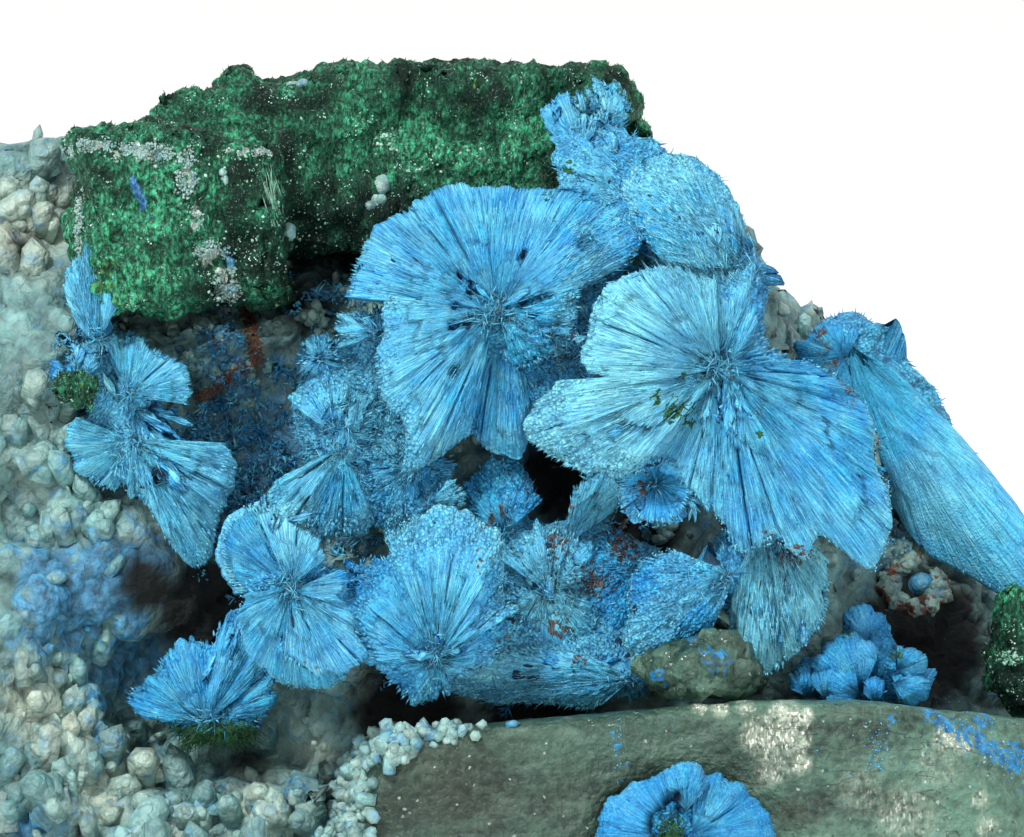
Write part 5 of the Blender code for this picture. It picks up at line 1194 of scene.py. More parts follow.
def heart_needles(spray, style, seed):
    """Short needles lying every way over a spray's apex, some of them brown or dark."""
    rng = np.random.default_rng(seed)
    rim = spray[3]
    mean_radius = rim_measures(rim)[0] / np.radians(rim[-1][0] - rim[0][0])
    count = round(16 * mean_radius * max(0.0, 1 - 2 * style["soft"]))
    degrees = rng.uniform(rim[0][0], rim[-1][0], count)
    share = np.abs(rng.normal(0, 0.45, count)) / mean_radius
    outward = sheet_outward(spray, degrees, share)
    base = sheet_point(spray, degrees, share) + outward * rng.uniform(0.05, 0.32, count)[:, None]
    turn = rng.uniform(0, 2 * math.pi, count)
    way = np.stack([np.cos(turn), rng.uniform(-0.5, 0.1, count), np.sin(turn)], axis=1)
    tip = base + unit(way) * rng.uniform(0.25, 0.85, count)[:, None]
    plain = rng.uniform(0, 1, count)
    values = drawn(rng, count, tone=(0.1, 0.95), pale=(0, 0.6), across=ANYWHERE)
    values["core"] = np.where(plain < 0.25, 0.7, 0.0)
    values["dark"] = np.where(plain > 0.85, 1.2, 0.0)
    return fibres(base, tip, outward, rng.uniform(0.05, 0.11, count), values)


def seed_of(spray):
    """The seed of a spray's relief, the same for its sheet and for the fibres on it."""
    return round(17 * abs(spray[0][0]) + 31 * spray[0][2] + 7 * spray[3][0][1]) % 997 + 3


def fine_body(node, voxel, shrink):
    """The node's solid with a fine even mesh, drawn in a little so that what grows on it stands proud."""
    obj = placed(f"{node}_fine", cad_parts[node].data.copy())
    fuse = obj.modifiers.new("even", "REMESH")
    fuse.mode = "VOXEL"
    fuse.voxel_size = voxel * MM
    smooth = obj.modifiers.new("smooth", "SMOOTH")
    smooth.iterations = 3
    smooth.factor = 0.5
    bpy.context.view_layer.update()
    made = bpy.data.meshes.new_from_object(obj.evaluated_get(bpy.context.evaluated_depsgraph_get()))
    bpy.data.objects.remove(obj, do_unlink=True)
    points, normals = mesh_values(made.vertices, "co"), mesh_values(made.vertices, "normal")
    made.vertices.foreach_set("co", (points - normals * shrink * MM).ravel())
    made.update()
    return made


def triangles_of(faces, sizes):
    """The faces split into triangles that fan out from each face's first corner."""
    starts = np.concatenate([[0], np.cumsum(sizes)[:-1]])
    found = []
    for k in range(1, int(sizes[sizes < 6].max()) - 1):
        wide = (sizes > k + 1) & (sizes < 6)
        first = starts[wide]
        found.append(np.stack([faces[first], faces[first + k], faces[first + k + 1]], axis=1))
    return np.concatenate(found)


def tree_of(parts):
    """A search tree over these parts, in display millimetres."""
    points, triangles, shift = [], [], 0
    for part_points, faces, sizes, _ in parts:
        points.append(part_points)
        triangles.append(triangles_of(faces, sizes) + shift)
        shift += len(part_points)
    return BVHTree.FromPolygons(np.concatenate(points).tolist(), np.concatenate(triangles).tolist())


def tree_over(*pieces):
    """A search tree over these pieces."""
    return tree_of([as_part(piece.data) for piece in pieces])


def front_hit(tree, x, z):
    """Where a look from the front meets the tree, and the normal there, or None twice."""
    return tree.ray_cast(Vector((x, LOOK_FROM, z)), LOOK_WAY)[:2]


def seen_places(patches, spread, tree, rng):
    """Where looks from the front, scattered over these patches, meet the tree: places, normals and sizes."""
    found = []
    for x, z, wide, high, count, size in patches:
        for across, up in zip(rng.normal(x, wide * spread, count), rng.normal(z, high * spread, count)):
            found.append((*front_hit(tree, across, up), size))
    found = [place for place in found if place[0] is not None]
    return tuple(np.array([place[k] for place in found]) for k in range(3))


def surface_scatter(part, count, rng):
    """Random places on a part with their normals, in the display frame."""
    points, faces, sizes, _ = part
    corners = points[triangles_of(faces, sizes)]
    cross = np.cross(corners[:, 1] - corners[:, 0], corners[:, 2] - corners[:, 0])
    area = np.linalg.norm(cross, axis=1)
    chosen = rng.choice(len(area), count, p=area / area.sum())
    a, b = rng.uniform(0, 1, (2, count))
    over = a + b > 1
    a, b = np.where(over, 1 - a, a)[:, None], np.where(over, 1 - b, b)[:, None]
    tri = corners[chosen]
    return tri[:, 0] * (1 - a - b) + tri[:, 1] * a + tri[:, 2] * b, unit(cross)[chosen]


def nearest_ray(points, sprays):
    """For each point, the unit way along the fibres of the nearest spray."""
    apexes = np.array([spray[0] for spray in sprays.values()])
    away = points[:, None, :] - apexes[None, :, :]
    nearest = np.argmin(np.linalg.norm(away, axis=2), axis=1)
    return unit(away[np.arange(len(points)), nearest])


def bare_fibres(body, sheets, sprays, count, seed):
    """Short fibres over what the sheets leave bare of the mass that they spread from."""
    rng = np.random.default_rng(seed)
    places, normals = surface_scatter(body, 4 * count, rng)
    tree = tree_of(sheets)
    bare = np.array([
        tree.ray_cast(Vector(place), Vector(normal), 1.5)[0] is None
        for place, normal in zip(places, normals)])
    places, normals = places[bare][:count], normals[bare][:count]
    count = len(places)
    flat = laid_flat(nearest_ray(places, sprays), normals, 0.8)
    length = rng.uniform(0.2, 0.55, count)[:, None]
    way = unit(flat + normals * rng.uniform(0.1, 0.5, (count, 1)) + 0.3 * rng.normal(0, 1, (count, 3)))
    values = drawn(rng, count, tone=(0.2, 0.85), pale=(0.0, 0.6), across=ANYWHERE, core=(0, 0.2))
    values.update(marked(places, 0.5, PLAIN)[1])
    width = rng.uniform(0.07, 0.13, count)
    return fibres(places - normals * 0.04, places + way * length, normals, width, values)


def leaf(tree, x, z, direction, half, length, lift):
    """A narrow spray that follows what a look from the front meets, or none where it meets nothing."""
    foot, _ = front_hit(tree, x, z)
    if foot is None:
        return None
    rim = []
    for turn in np.linspace(-1, 1, 6):
        degrees = direction + half * turn
        reach = length * (1 - 0.3 * turn * turn)
        angle = math.radians(degrees)
        under, _ = front_hit(tree, x + reach * math.cos(angle), z + reach * math.sin(angle))
        toward = 0.0 if under is None else min(max(foot.y - under.y, -0.5 * length), 0.3 * length)
        rim.append((degrees, reach, toward + lift))
    return (x, foot.y + 0.08, z), LEAF_BACKING, 0.10 * length, tuple(rim)


def leaves(node, tree, seed):
    """All the small leaves of fibres on a node, as sheets."""
    rng = np.random.default_rng(seed)
    made = []
    for x, z, wide, high, count, length, direction, spread, half, lift, pale in LEAVES.get(node, ()):
        for _ in range(count):
            spray = leaf(
                tree, rng.normal(x, 0.6 * wide), rng.normal(z, 0.6 * high),
                rng.normal(direction, spread / 2), half * rng.uniform(0.7, 1.3),
                length * rng.uniform(0.6, 1.4), lift * rng.uniform(0.4, 1.4))
            shade = float(np.clip(pale + rng.normal(0, 0.22), 0, 1))
            if spray:
                made.append(sheet(spray, {**LEAF_STYLE, "pale": shade}, seed_of(spray)))
    return made


def strewn(node, tree, seed):
    """The needles strewn on a node, following the surface under them."""
    rng = np.random.default_rng(seed)
    made = []
    for x, z, wide, high, count, length, direction, spread, pale, olive, rust in STREWN.get(node, ()):
        places, normals, lengths = seen_places(((x, z, wide, high, count, length),), 0.6, tree, rng)
        count = len(places)
        if count:
            turn = np.radians(rng.normal(direction, spread, count))
            way = laid_flat(np.stack([np.cos(turn), np.zeros(count), np.sin(turn)], axis=1), normals, 0.9)
            way = unit(way + normals * rng.uniform(0.0, 0.14 + 0.002 * spread, (count, 1)))
            way = way * lengths[:, None]
            values = blank(
                count, tone=rng.uniform(0.1, 0.95, count), pale=np.clip(rng.normal(pale, 0.3, count), 0, 1),
                olive=np.full(count, float(olive)), rust=(rng.uniform(0, 1, count) < rust) * 2.0,
                across=rng.uniform(*ANYWHERE, count))
            made.append(fibres(
                places - 0.2 * way, places + way * rng.uniform(0.4, 1.3, (count, 1)), normals,
                rng.uniform(0.035, 0.08, count), values))
    return made


def shadow_plugs(tree, seed):
    """Flat near-black plugs of painted shade, ragged in outline, where deep clefts open between the fibres.
    """
    found = [
        (front_hit(tree, x, z)[0], (long_half, SHADOW_PLUG_HALF_DEPTH, short_half), math.radians(direction))
        for x, z, long_half, short_half, direction in SHADOW_PLUGS]
    found = [hole for hole in found if hole[0] is not None]
    if not found:
        return []
    places, halves, turns = (np.array([hole[k] for hole in found]) for k in range(3))
    count = len(places)
    # The plugs take the darkest painted shade.
    values = blank(count, core=np.full(count, 3.0))
    plugs = pebbles(np.zeros((count, 3)), np.ones(count), values, 2, 0.10, seed)
    x, y, z = np.moveaxis(plugs[0].reshape(count, -1, 3) * halves[:, None, :], 2, 0)
    cos, sin = np.cos(turns)[:, None], np.sin(turns)[:, None]
    points = np.stack([x * cos - z * sin, y, x * sin + z * cos], axis=2) + places[:, None, :]
    return [(points.reshape(-1, 3), *plugs[1:])]


def petal(foot_x, foot_y, foot_z, first, last, length, dome):
    """A spray whose rim is rounded like a petal's."""
    rim = tuple((
        first + (last - first) * turn, length * (0.72 + 0.28 * math.sin(math.pi * turn)),
        0.3 - 0.8 * abs(turn - 0.5)) for turn in np.linspace(0, 1, 7))
    return (foot_x, foot_y, foot_z), PETAL_BACKING, dome, rim


def widened(spray):
    """A spray of the ledge's rosette with longer rays that stand farther toward the viewer."""
    apex, backing, dome, rim = spray
    return apex, backing, dome, tuple(
        (degrees, radius * ROSETTE_REACH, stand + ROSETTE_STAND) for degrees, radius, stand in rim)


def dressed_sprays(node):
    """The node's sprays as they show: the solid's, with petals, wider rays or a plume on some nodes."""
    sprays = dict(SPRAYS[node])
    if node == "shattuckite_nook_buds":
        sprays = {f"petal_{number}": petal(*place) for number, place in enumerate(PETALS)}
    if node == "shattuckite_ledge_rosette":
        sprays = {label: widened(spray) for label, spray in sprays.items()}
        sprays["arch_top"] = petal(*ARCH_TOP)
    if node == "shattuckite_left_rosettes":
        sprays["pillar"] = PILLAR
    return sprays


def style_of(node, label=None):
    """How a spray looks, or the node as a whole."""
    style = dict(PLAIN)
    for row in (NODE_STYLES.get(node, ()), STYLES.get(label, ())):
        style.update({key: value for key, value in zip(STYLE_KEYS, row) if value is not None})
    return style


def blue_piece(node, seed):
    """A blue node's visible piece: sheets, loose fibres, rim tips, and the mass they all spread from."""
    sprays = dressed_sprays(node)
    loose, tips, spare = (round(1000 * share) for share in FIBRES[node])
    measures = [rim_measures(spray[3]) for spray in sprays.values()]
    all_rims, all_areas = (sum(column) for column in zip(*measures))
    sheets, parts = [], []
    for number, ((label, spray), (length, area)) in enumerate(zip(sprays.items(), measures)):
        style = style_of(node, label)
        own_seed = seed + SPRAY_SEED_STEP * number
        sheets.append(sheet(spray, style, seed_of(spray)))
        parts.append(loose_fibres(spray, style, round(loose * area / all_areas), own_seed))
        parts.extend(rim_tips(spray, style, round(tips * length / all_rims), own_seed + 5))
        parts.append(heart_needles(spray, style, own_seed + 9))
    mesh = fine_body(node, 0.36, 0.34)
    points = as_part(mesh)[0]
    whole = np.ones(len(points))
    height, tone, cracks = felt(points, whole, 0.5, seed)
    moved_out(mesh, height)
    points, faces, sizes, _ = as_part(mesh)
    # The mass is painted near black as shade in its cracks.
    values = blank(
        len(points), tone=np.clip(0.48 + tone, 0, 1), core=np.clip(0.08 + cracks, 0, 1), grain=whole,
        pale=np.clip(style_of(node)["pale"] + 0.3 * tone, 0, 1),
        across=np.arange(len(points)) % 13 * 1.0, **marked(points, 0.5, PLAIN)[1])
    body = (points, faces, sizes, values)
    sheets.extend(leaves(node, tree_of(sheets + [body]), seed + 700))
    face = tree_of(sheets + [body])
    parts.extend(strewn(node, face, seed + 740))
    parts.extend(shadow_plugs(face, seed + 760))
    parts.append(bare_fibres(body, sheets, sprays, spare, seed + 901))
    return piece_from(f"{node}_fibres", sheets + parts + [body], "shattuckite", node)


def patches_at(points, patches):
    """How deep inside any of these patches, each (x, z, spread across, spread up, …), the points lie."""
    strength = np.zeros(len(points))
    for x, z, wide, high, *_ in patches:
        away = np.hypot((points[:, 0] - x) / wide, (points[:, 2] - z) / high)
        strength = np.maximum(strength, np.clip(1.7 - away, 0, 1))
    return strength


def green_marks(points):
    """Colour values of the malachite at these places."""
    dark, bright = spots_at(points, CRUST_DARK), spots_at(points, CRUST_BRIGHT)
    patch = 0.47 + 0.95 * noise_at(points, 1.1, 60) + 0.6 * noise_at(points, 2.6, 61)
    tone = np.clip(0.50 * patch + 0.40 * bright - 0.45 * dark + 0.12, 0, 1)
    return blank(
        len(points), tone=tone, rust=spots_at(points, YELLOW_SPOTS), core=spots_at(points, BLUE_STREAKS),
        dark=np.clip(dark, 0, 1), olive=patches_at(points, SUGAR_PATCHES))


def green_piece(node, thousands, seed):
    """A malachite node's visible piece: packed dark grains, painted darker as shade where they sink low,
    under a nap of short glinting needles, some painted near white as glints.
    """
    mesh = fine_body(node, 0.22, 0.40)
    places = as_part(mesh)[0]
    coarse, _ = cobbles(places * CRUST_UPRIGHT, 1.3, seed)
    small, shade = cobbles(places * CRUST_UPRIGHT, 0.52, seed + 3)
    rough = noise_at(places, 0.33, seed + 8)
    moved_out(
        mesh, 0.36 * coarse + 0.24 * small + 0.16 * rough + 0.35 * noise_at(places, 3.0, seed + 5)
        + 0.22 * noise_at(places, 0.9, seed + 2) + spots_at(places, SHOULDER) - 0.10)
    points, faces, sizes, _ = as_part(mesh)
    marks = green_marks(points)
    hollow = np.clip(small + 0.5 * rough, 0, 1)
    # Painted shade: grains darker where they sink low between the cobbles, and by a random amount each.
    marks["tone"] = np.clip(marks["tone"] * (0.35 + 0.75 * hollow) * (0.65 + 0.6 * shade), 0, 1)
    body = (points, faces, sizes, marks)

    rng = np.random.default_rng(seed)
    count = round(thousands * 1000)
    places, normals = surface_scatter(body, count, rng)
    swirl = np.stack([noise_at(places, 1.2, seed + k) for k in (0, 20, 40)], axis=1)
    way = laid_flat(unit(CRUST_GRAIN + 1.6 * swirl + 0.6 * rng.normal(0, 1, (count, 3))), normals, 0.9)
    way = unit(way + normals * rng.uniform(0.0, 0.28, (count, 1)))
    marks = green_marks(places)
    cluster = np.clip(noise_at(places, 0.9, seed + 33) * 2.0, 0, 1)
    glint = rng.uniform(0, 1, count) < 0.08 + 0.14 * cluster + 0.34 * marks["dark"]
    length = np.where(glint, rng.uniform(0.10, 0.34, count), rng.uniform(0.10, 0.28, count))
    width = np.where(glint, rng.uniform(0.025, 0.055, count), rng.uniform(0.05, 0.11, count))
    # Glint needles are painted near white, as highlights.
    marks["pale"] = np.where(glint, rng.uniform(0.3, 1.0, count), 0.0)
    marks["tone"] = np.clip(marks["tone"] * rng.uniform(0.3, 1.5, count) + 0.10, 0, 1)
    for label, least in (("rust", 0.2), ("olive", 0.6), ("core", 0.6)):
        marks[label] *= rng.uniform(least, 1.0, count)
    parts = [fibres(places - normals * 0.05, places + way * length[:, None], normals, width, marks), body]
    tree = tree_of([body])
    places, normals, scale = seen_places(GLINT_PATCHES, 0.7, tree, rng)
    if len(places):
        values = drawn(rng, len(places), tone=(0.4, 1.0))
        # The crumbs where facets crowd are painted pale, as glints.
        values["pale"] = rng.power(0.7, len(places))
        size = scale * (0.11 * rng.power(0.5, len(places)) + 0.015)
        parts.append(crumbs(places, normals, size, values, seed + 4))
    places, normals, scale = seen_places(SHEAF, 0.5, tree, rng)
    if len(places):
        count = len(places)
        values = drawn(rng, count, tone=(0.5, 1.0), pale=(0.0, 0.55))
        way = unit(SHEAF_WAY + 0.10 * rng.normal(0, 1, (count, 3))) * scale[:, None]
        parts.append(fibres(
            places - 0.2 * way, places + way * rng.uniform(0.5, 1.1, (count, 1)), normals,
            rng.uniform(0.06, 0.12, count), values))
    return piece_from(f"{node}_needles", parts, "malachite", node)


def rock_marks(places, normals, shade):
    """Colour values of the rock at these places; the spots are only on its face."""
    front = np.clip(0.5 - normals[:, 1] * 2, 0, 1)
    patch = 0.5 * noise_at(places, 3.0, 11.0) + 0.3 * noise_at(places, 0.8, 12.0)
    pale = spots_at(places, CREAM) * front * 0.8 + 0.6 * noise_at(places, 4.0, 31.0) - 0.12
    rust = spots_at(places, ROCK_RUST) * front + 0.5 * noise_at(places, 3.0, 71.0) - 0.30
    core = spots_at(places, STAINS) * front + 0.8 * noise_at(places, 2.4, 51.0) - 0.25
    # dark is painted shade in the rock's hollows.
    marks = {
        "tone": 0.42 + patch + 0.6 * (shade - 0.5), "pale": pale, "rust": rust, "core": core,
        "dark": spots_at(places, HOLLOW_SHADE) * front}
    return blank(len(places), **{label: np.clip(numbers, 0, 1) for label, numbers in marks.items()})


def back_points():
    """The feet, directions, lengths and radii of the points at the back."""
    feet, lengths, radii, tilts, leans = zip(*BACK_POINTS)
    ways = [
        Matrix.Rotation(math.radians(lean), 3, "X") @ Matrix.Rotation(math.radians(tilt), 3, "Y")
        @ Vector((0.0, 0.0, 1.0)) for tilt, lean in zip(tilts, leans)]
    return np.array(feet), np.array(ways), np.array(lengths), np.array(radii)


def within_points(places, reach):
    """Whether each place lies in a point at the back, past this share of its length."""
    inside = np.zeros(len(places), bool)
    for foot, way, length, radius in zip(*back_points()):
        along = (places - foot) @ way
        away = np.linalg.norm(places - foot - along[:, None] * way, axis=1)
        inside |= (along > reach * length) & (along < 1.3 * length) & (away < 1.25 * radius)
    return inside


def tucked(points):
    """The rock's thin lip before the foot of the long crystal, drawn back into that crystal."""
    x, y, z = points.T
    share = np.clip((x + 6.9) / 0.6, 0, 1) * np.clip((-3.0 - x) / 0.5, 0, 1)
    share = share * np.clip((-9.8 - y) / 0.5, 0, 1) * np.clip((3.6 - z) / 0.5, 0, 1)
    return np.stack([x, y + LIP_TUCK * share, z], axis=1)


def matrix_piece():
    """The rock: packed quartz grains with flat broken faces, and a druse of quartz points on them."""
    mesh = fine_body("quartz_matrix", 0.42, 0.55)
    places = as_part(mesh)[0]
    coarse, _ = cobbles(places, 2.0, 4.0)
    small, shade = cobbles(places, 0.95, 14.0)
    level = np.clip((world_points(places)[:, 2] / MM - 0.9) / 0.8, 0, 1)
    calm = 1 - 0.7 * np.clip((-19.6 - places[:, 0]) / 1.6, 0, 1) * np.clip((places[:, 2] - 20.0) / 4, 0, 1)
    level = level * np.where(within_points(places, 0.35), 0.0, 1.0)
    moved_out(mesh, level * (
        0.80 * coarse + 0.34 * small * calm + 0.6 * noise_at(places, 4.0, 24.0)
        + 0.60 * facets(places, 1.8, 3.0) + 0.12 * noise_at(places, 0.5, 8.0) * calm - 0.2))
    normals = display_normals(mesh)
    points, faces, sizes, _ = as_part(mesh)
    marks = rock_marks(points, normals, shade)
    # Painted shade: darker in the cracks between the rock's grains, the deeper the darker.
    marks["dark"] = np.clip(marks["dark"] + 0.32 * (1 - small) ** 1.5 + 0.42 * (1 - coarse) ** 2, 0, 1)
    body = (points, faces, sizes, marks)

    rng = np.random.default_rng(41)
    count = 1700
    places, normals = surface_scatter(body, count, rng)
    above = world_points(places)[:, 2] > 1.2 * MM
    dense = noise_at(places, 4.5, 91.0) + 0.4 > rng.uniform(-0.4, 0.9, count)
    toward = rng.uniform(0, 1, count) < np.where(normals[:, 1] < 0.2, 1.0, 0.35)
    crowded = (places[:, 0] > -20.0) | (places[:, 2] < 20.0) | (rng.uniform(0, 1, count) < 0.25)
    chosen = above & dense & toward & crowded & ~within_points(places, 0.35)
    places, normals = places[chosen], normals[chosen]
    count = len(places)
    crowd = np.clip(noise_at(places, 6.0, 5.0) + 0.5, 0, 1)
    size = 0.28 + 0.75 * rng.power(2.2, count) * (0.5 + 0.5 * crowd)
    size = size * (1 - 0.5 * np.clip(spots_at(places, HOLLOW_SHADE), 0, 1)) * 0.8
    way = unit(normals + 0.5 * rng.normal(0, 1, (count, 3)))
    marks = rock_marks(places, normals, rng.uniform(0, 1, count))
    marks["pale"] = np.clip(marks["pale"] + 0.12, 0, 1)
    length = size * rng.uniform(1.0, 2.0, count)
    druse = crystals(places - normals * 0.3, way, length, size * rng.uniform(0.34, 0.5, count), marks, 77)

    places, normals, size = seen_places(BIG_CRYSTALS, 0.8, tree_of([body]), rng)
    count = len(places)
    size = size * rng.uniform(0.5, 1.3, count)
    way = unit(0.5 * normals + 0.45 * rng.normal(0, 1, (count, 3)) + np.array([0.1, -0.2, 0.9]))
    marks = rock_marks(places, normals, rng.uniform(0, 1, count))
    marks["pale"] = np.clip(0.7 * marks["pale"] + 0.25 * rng.uniform(-1, 1, count), 0, 1)
    marks["core"] *= 0.5
    marks["dark"] *= 0.3
    feet = places - way * size[:, None] * 1.2
    large = crystals(feet, way, size * rng.uniform(2.0, 3.4, count), size * 0.8, marks, 78)

    feet, ways, lengths, radii = back_points()
    marks = rock_marks(feet + ways * lengths[:, None], ways, rng.uniform(0, 1, len(feet)))
    behind = crystals(feet, ways, lengths, radii, marks, 79)
    parts = [(tucked(part[0]), *part[1:]) for part in (druse, large, behind, body)]
    return piece_from("quartz_matrix_druse", parts, "drusy_quartz", "quartz_matrix")


def tuft_piece(tree, seed):
    """Small blue tufts on the rock between the sprays, and blue crumbs where it is only crusted."""
    rng = np.random.default_rng(seed)
    bases, tips, ways, marks = [], [], [], []
    for foot, normal, radius in zip(*seen_places(TUFT_PATCHES, 1.0, tree, rng)):
        aim = unit(normal + 0.5 * rng.normal(0, 1, 3))
        spread = unit(aim + rng.uniform(0.25, 0.7) * rng.normal(0, 1, (TUFT_FIBRES, 3)))
        base = foot - 0.15 * aim + 0.14 * rng.normal(0, 1, (TUFT_FIBRES, 3))
        bases.append(base)
        length = radius * rng.uniform(0.5, 1.4) * rng.uniform(0.6, 1.1, (TUFT_FIBRES, 1))
        tips.append(base + spread * length)
        ways.append(np.tile(aim, (TUFT_FIBRES, 1)))
        marks.append(np.stack([
            rng.uniform(0.1, 0.8) + 0.2 * rng.normal(0, 1, TUFT_FIBRES),
            rng.uniform(-0.1, 0.7) + 0.1 * rng.normal(0, 1, TUFT_FIBRES),
            np.full(TUFT_FIBRES, rng.uniform(0, 1) ** 5)]))
    bases, tips, ways = (np.concatenate(stack) for stack in (bases, tips, ways))
    tone, pale, rust = np.clip(np.concatenate(marks, axis=1), 0, 1)
    count = len(bases)
    values = blank(count, tone=tone, pale=pale, rust=rust, across=rng.uniform(*ANYWHERE, count))
    needles = fibres(bases, tips, ways, rng.uniform(0.10, 0.19, count), values)
    places, normals, size = seen_places(CRUMB_PATCHES, 0.8, tree, rng)
    count = len(places)
    size = size * rng.uniform(0.4, 1.3, count)
    values = drawn(rng, count, tone=(0, 0.8))
    values["pale"] = rng.power(0.5, count) * 0.5
    values["across"] = rng.uniform(*ANYWHERE, count)
    grains = crumbs(places, normals, size, values, seed)
    return piece_from("shattuckite_tufts", [needles, grains], "shattuckite")


def clear_piece(node, voxel, seed):
    """A quartz node with its worn facets, broken flakes and ripples on them, and the marks on its face."""
    mesh = fine_body(node, voxel, 0.10)
    places = as_part(mesh)[0]
    glitter = np.clip(spots_at(places, FROST), 0, 1)
    moved_out(
        mesh, 0.10 * noise_at(places, 3.0, seed) + 0.06 * noise_at(places, 0.7, seed + 2)
        + 0.12 * facets(places, 2.6, seed) + 0.05 * facets(places, 1.0, seed + 5)
        + 0.25 * glitter * facets(places, 0.8, seed + 9))
    points, faces, sizes, marks = as_part(mesh)
    marks["tone"] += np.clip(0.45 + 0.5 * noise_at(points, 2.6, seed) + 0.040 * (points[:, 0] - 6.0), 0, 1.3)
    for label, spots in (("pale", FROST), ("dark", SMOKE), ("core", LEDGE_STAINS)):
        marks[label] += np.clip(spots_at(points, spots), 0, 1)
    if node == "quartz_stub":
        for label, more in STUB_MARKS.items():
            marks[label] += more
    return piece_from(f"{node}_clear", [(points, faces, sizes, marks)], "smoky_quartz", node)


def sugar_piece(tree, seed):
    """A crust of tiny quartz grains on the malachite."""
    rng = np.random.default_rng(seed)
    places, normals, size = seen_places(SUGAR_PATCHES, 0.6, tree, rng)
    size = size * rng.uniform(0.3, 0.95, len(places))
    patchy = noise_at(places, 0.7, seed) > -0.10
    places, normals, size = places[patchy], normals[patchy], size[patchy]
    count = len(places)
    values = drawn(rng, count, tone=(0.3, 1.0), pale=(0.0, 0.55))
    heap = np.clip(0.5 + noise_at(places, 0.4, seed + 1), 0, 1) * rng.uniform(-0.1, 0.22, count)
    grains = crumbs(places + normals * heap[:, None], normals, size, values, seed)
    return piece_from("quartz_sugar", [grains], "drusy_quartz")


def nook_grains(tree, seed):
    """Rounded translucent grains in the malachite's nooks."""
    rng = np.random.default_rng(seed)
    feet, _, size = seen_places(GRAIN_PATCHES, 0.6, tree, rng)
    size = size * rng.uniform(0.6, 1.1, len(feet))
    values = drawn(rng, len(feet), tone=(0.2, 0.8), pale=(0.0, 0.3))
    blue = (np.abs(feet[:, 0] - BLUE_NOOK[0]) < 0.5) & (np.abs(feet[:, 2] - BLUE_NOOK[1]) < 0.6)
    values["core"] = np.where(blue, 0.9, 0.0)
    return piece_from("quartz_grains", [pebbles(feet, size, values, 2, 0.06, seed + 1)], "drusy_quartz")


def heap_piece(tree, seed):
    """A heap of broken clear quartz under the fringe."""
    rng = np.random.default_rng(seed)
    feet, ways, sizes = seen_places(HEAP_PATCHES, 0.8, tree, rng)
    near = (feet[:, 1] < HEAP_BACK) & (feet[:, 2] > HEAP_FOOT)
    feet, ways, sizes = feet[near], ways[near], sizes[near]
    count = len(feet)
    radius = sizes * rng.uniform(0.4, 1.2, count)
    way = unit(ways + 0.9 * rng.normal(0, 1, (count, 3)) + np.array([0.0, 0.0, 0.4]))
    values = drawn(rng, count, tone=(0.2, 1.0), pale=(0.0, 0.25), core=(0, 1))
    values["core"] = (values["core"] < 0.1) * 0.7
    length = radius * rng.uniform(1.3, 2.2, count)
    lumps = crystals(feet - way * radius[:, None] * 0.6, way, length, radius, values, seed + 1)
    return piece_from("quartz_heap", [lumps], "smoky_quartz")


def rim_crust_piece(tree, seed):
    """Quartz crystals crowded on the long crystal's left end and upper edge."""
    rng = np.random.default_rng(seed)
    feet, ways, sizes = seen_places(CRUST_PATCHES, 0.6, tree, rng)
    count = len(feet)
    way = unit(ways + 0.7 * rng.normal(0, 1, (count, 3)))
    radius = sizes * rng.uniform(0.5, 1.25, count)
    values = drawn(rng, count, tone=(0.1, 1.0), pale=(0.0, 0.35))
    values["core"] = rng.power(0.4, count) * 0.4
    length = radius * rng.uniform(1.6, 3.4, count)
    grains = crystals(feet - way * radius[:, None] * 0.5, way, length, radius, values, seed + 1)
    return piece_from("quartz_rim_crust", [grains], "drusy_quartz")


def lump_piece(tree, seed):
    """Rounded crusts on the rock: blue ones, a rust-red seam, and a small rusty cup."""
    rng = np.random.default_rng(seed)
    made = []
    for number, (x, z, wide, high, count, size, blue, rust, pale) in enumerate(LUMPS):
        feet, ways, sizes = seen_places(((x, z, wide, high, count, size),), 0.7, tree, rng)
        count = len(feet)
        if count:
            values = drawn(rng, count, tone=(0.1, 0.9))
            values["pale"] = np.clip(rng.normal(pale, 0.15, count), 0, 1)
            values["core"] = np.clip(rng.normal(blue, 0.25, count), 0, 2)
            values["rust"] = np.full(count, float(rust))
            feet = feet + ways * rng.uniform(0, size, (count, 1))
            made.append(crumbs(feet, ways, sizes * rng.uniform(0.4, 1.2, count), values, seed + number))
    feet, _, radii = seen_places(CUP_BALL, 0.7, tree, rng)
    count = len(feet)
    values = blank(count, tone=np.full(count, 0.8), pale=np.full(count, 0.1), core=np.full(count, 0.9))
    made.append(pebbles(feet, radii, values, 4, 0.01, seed + 99))
    feet, _, sizes = seen_places(CUP_BEADS, 0.7, tree, rng)
    values = drawn(rng, len(feet), tone=(0.2, 0.5), pale=(0.0, 0.4), rust=(0.3, 0.8), dark=(0.0, 0.5))
    made.append(pebbles(feet, sizes * rng.uniform(0.4, 1.3, len(feet)), values, 2, 0.15, seed + 98))
    return piece_from("quartz_lumps", made, "drusy_quartz")


class Value:
    """A number that a shader node gives. Arithmetic with it adds Math nodes."""

    def __init__(self, look, socket):
        self.look = look
        self.socket = socket

    def __add__(self, other):
        return self.look.math("ADD", self, other)

    def __sub__(self, other):
        return self.look.math("SUBTRACT", self, other)

    def __rsub__(self, other):
        return self.look.math("SUBTRACT", other, self)

    def __mul__(self, other):
        return self.look.math("MULTIPLY", self, other)

    def __abs__(self):
        return self.look.math("ABSOLUTE", self, 0.0)

    def between(self, low, high):
        """The value with low becoming 0 and high becoming 1."""
        node = self.look.add("MapRange")
        self.look.put(self, node.inputs["Value"])
        node.inputs["From Min"].default_value = low
        node.inputs["From Max"].default_value = high
        return Value(self.look, node.outputs["Result"])


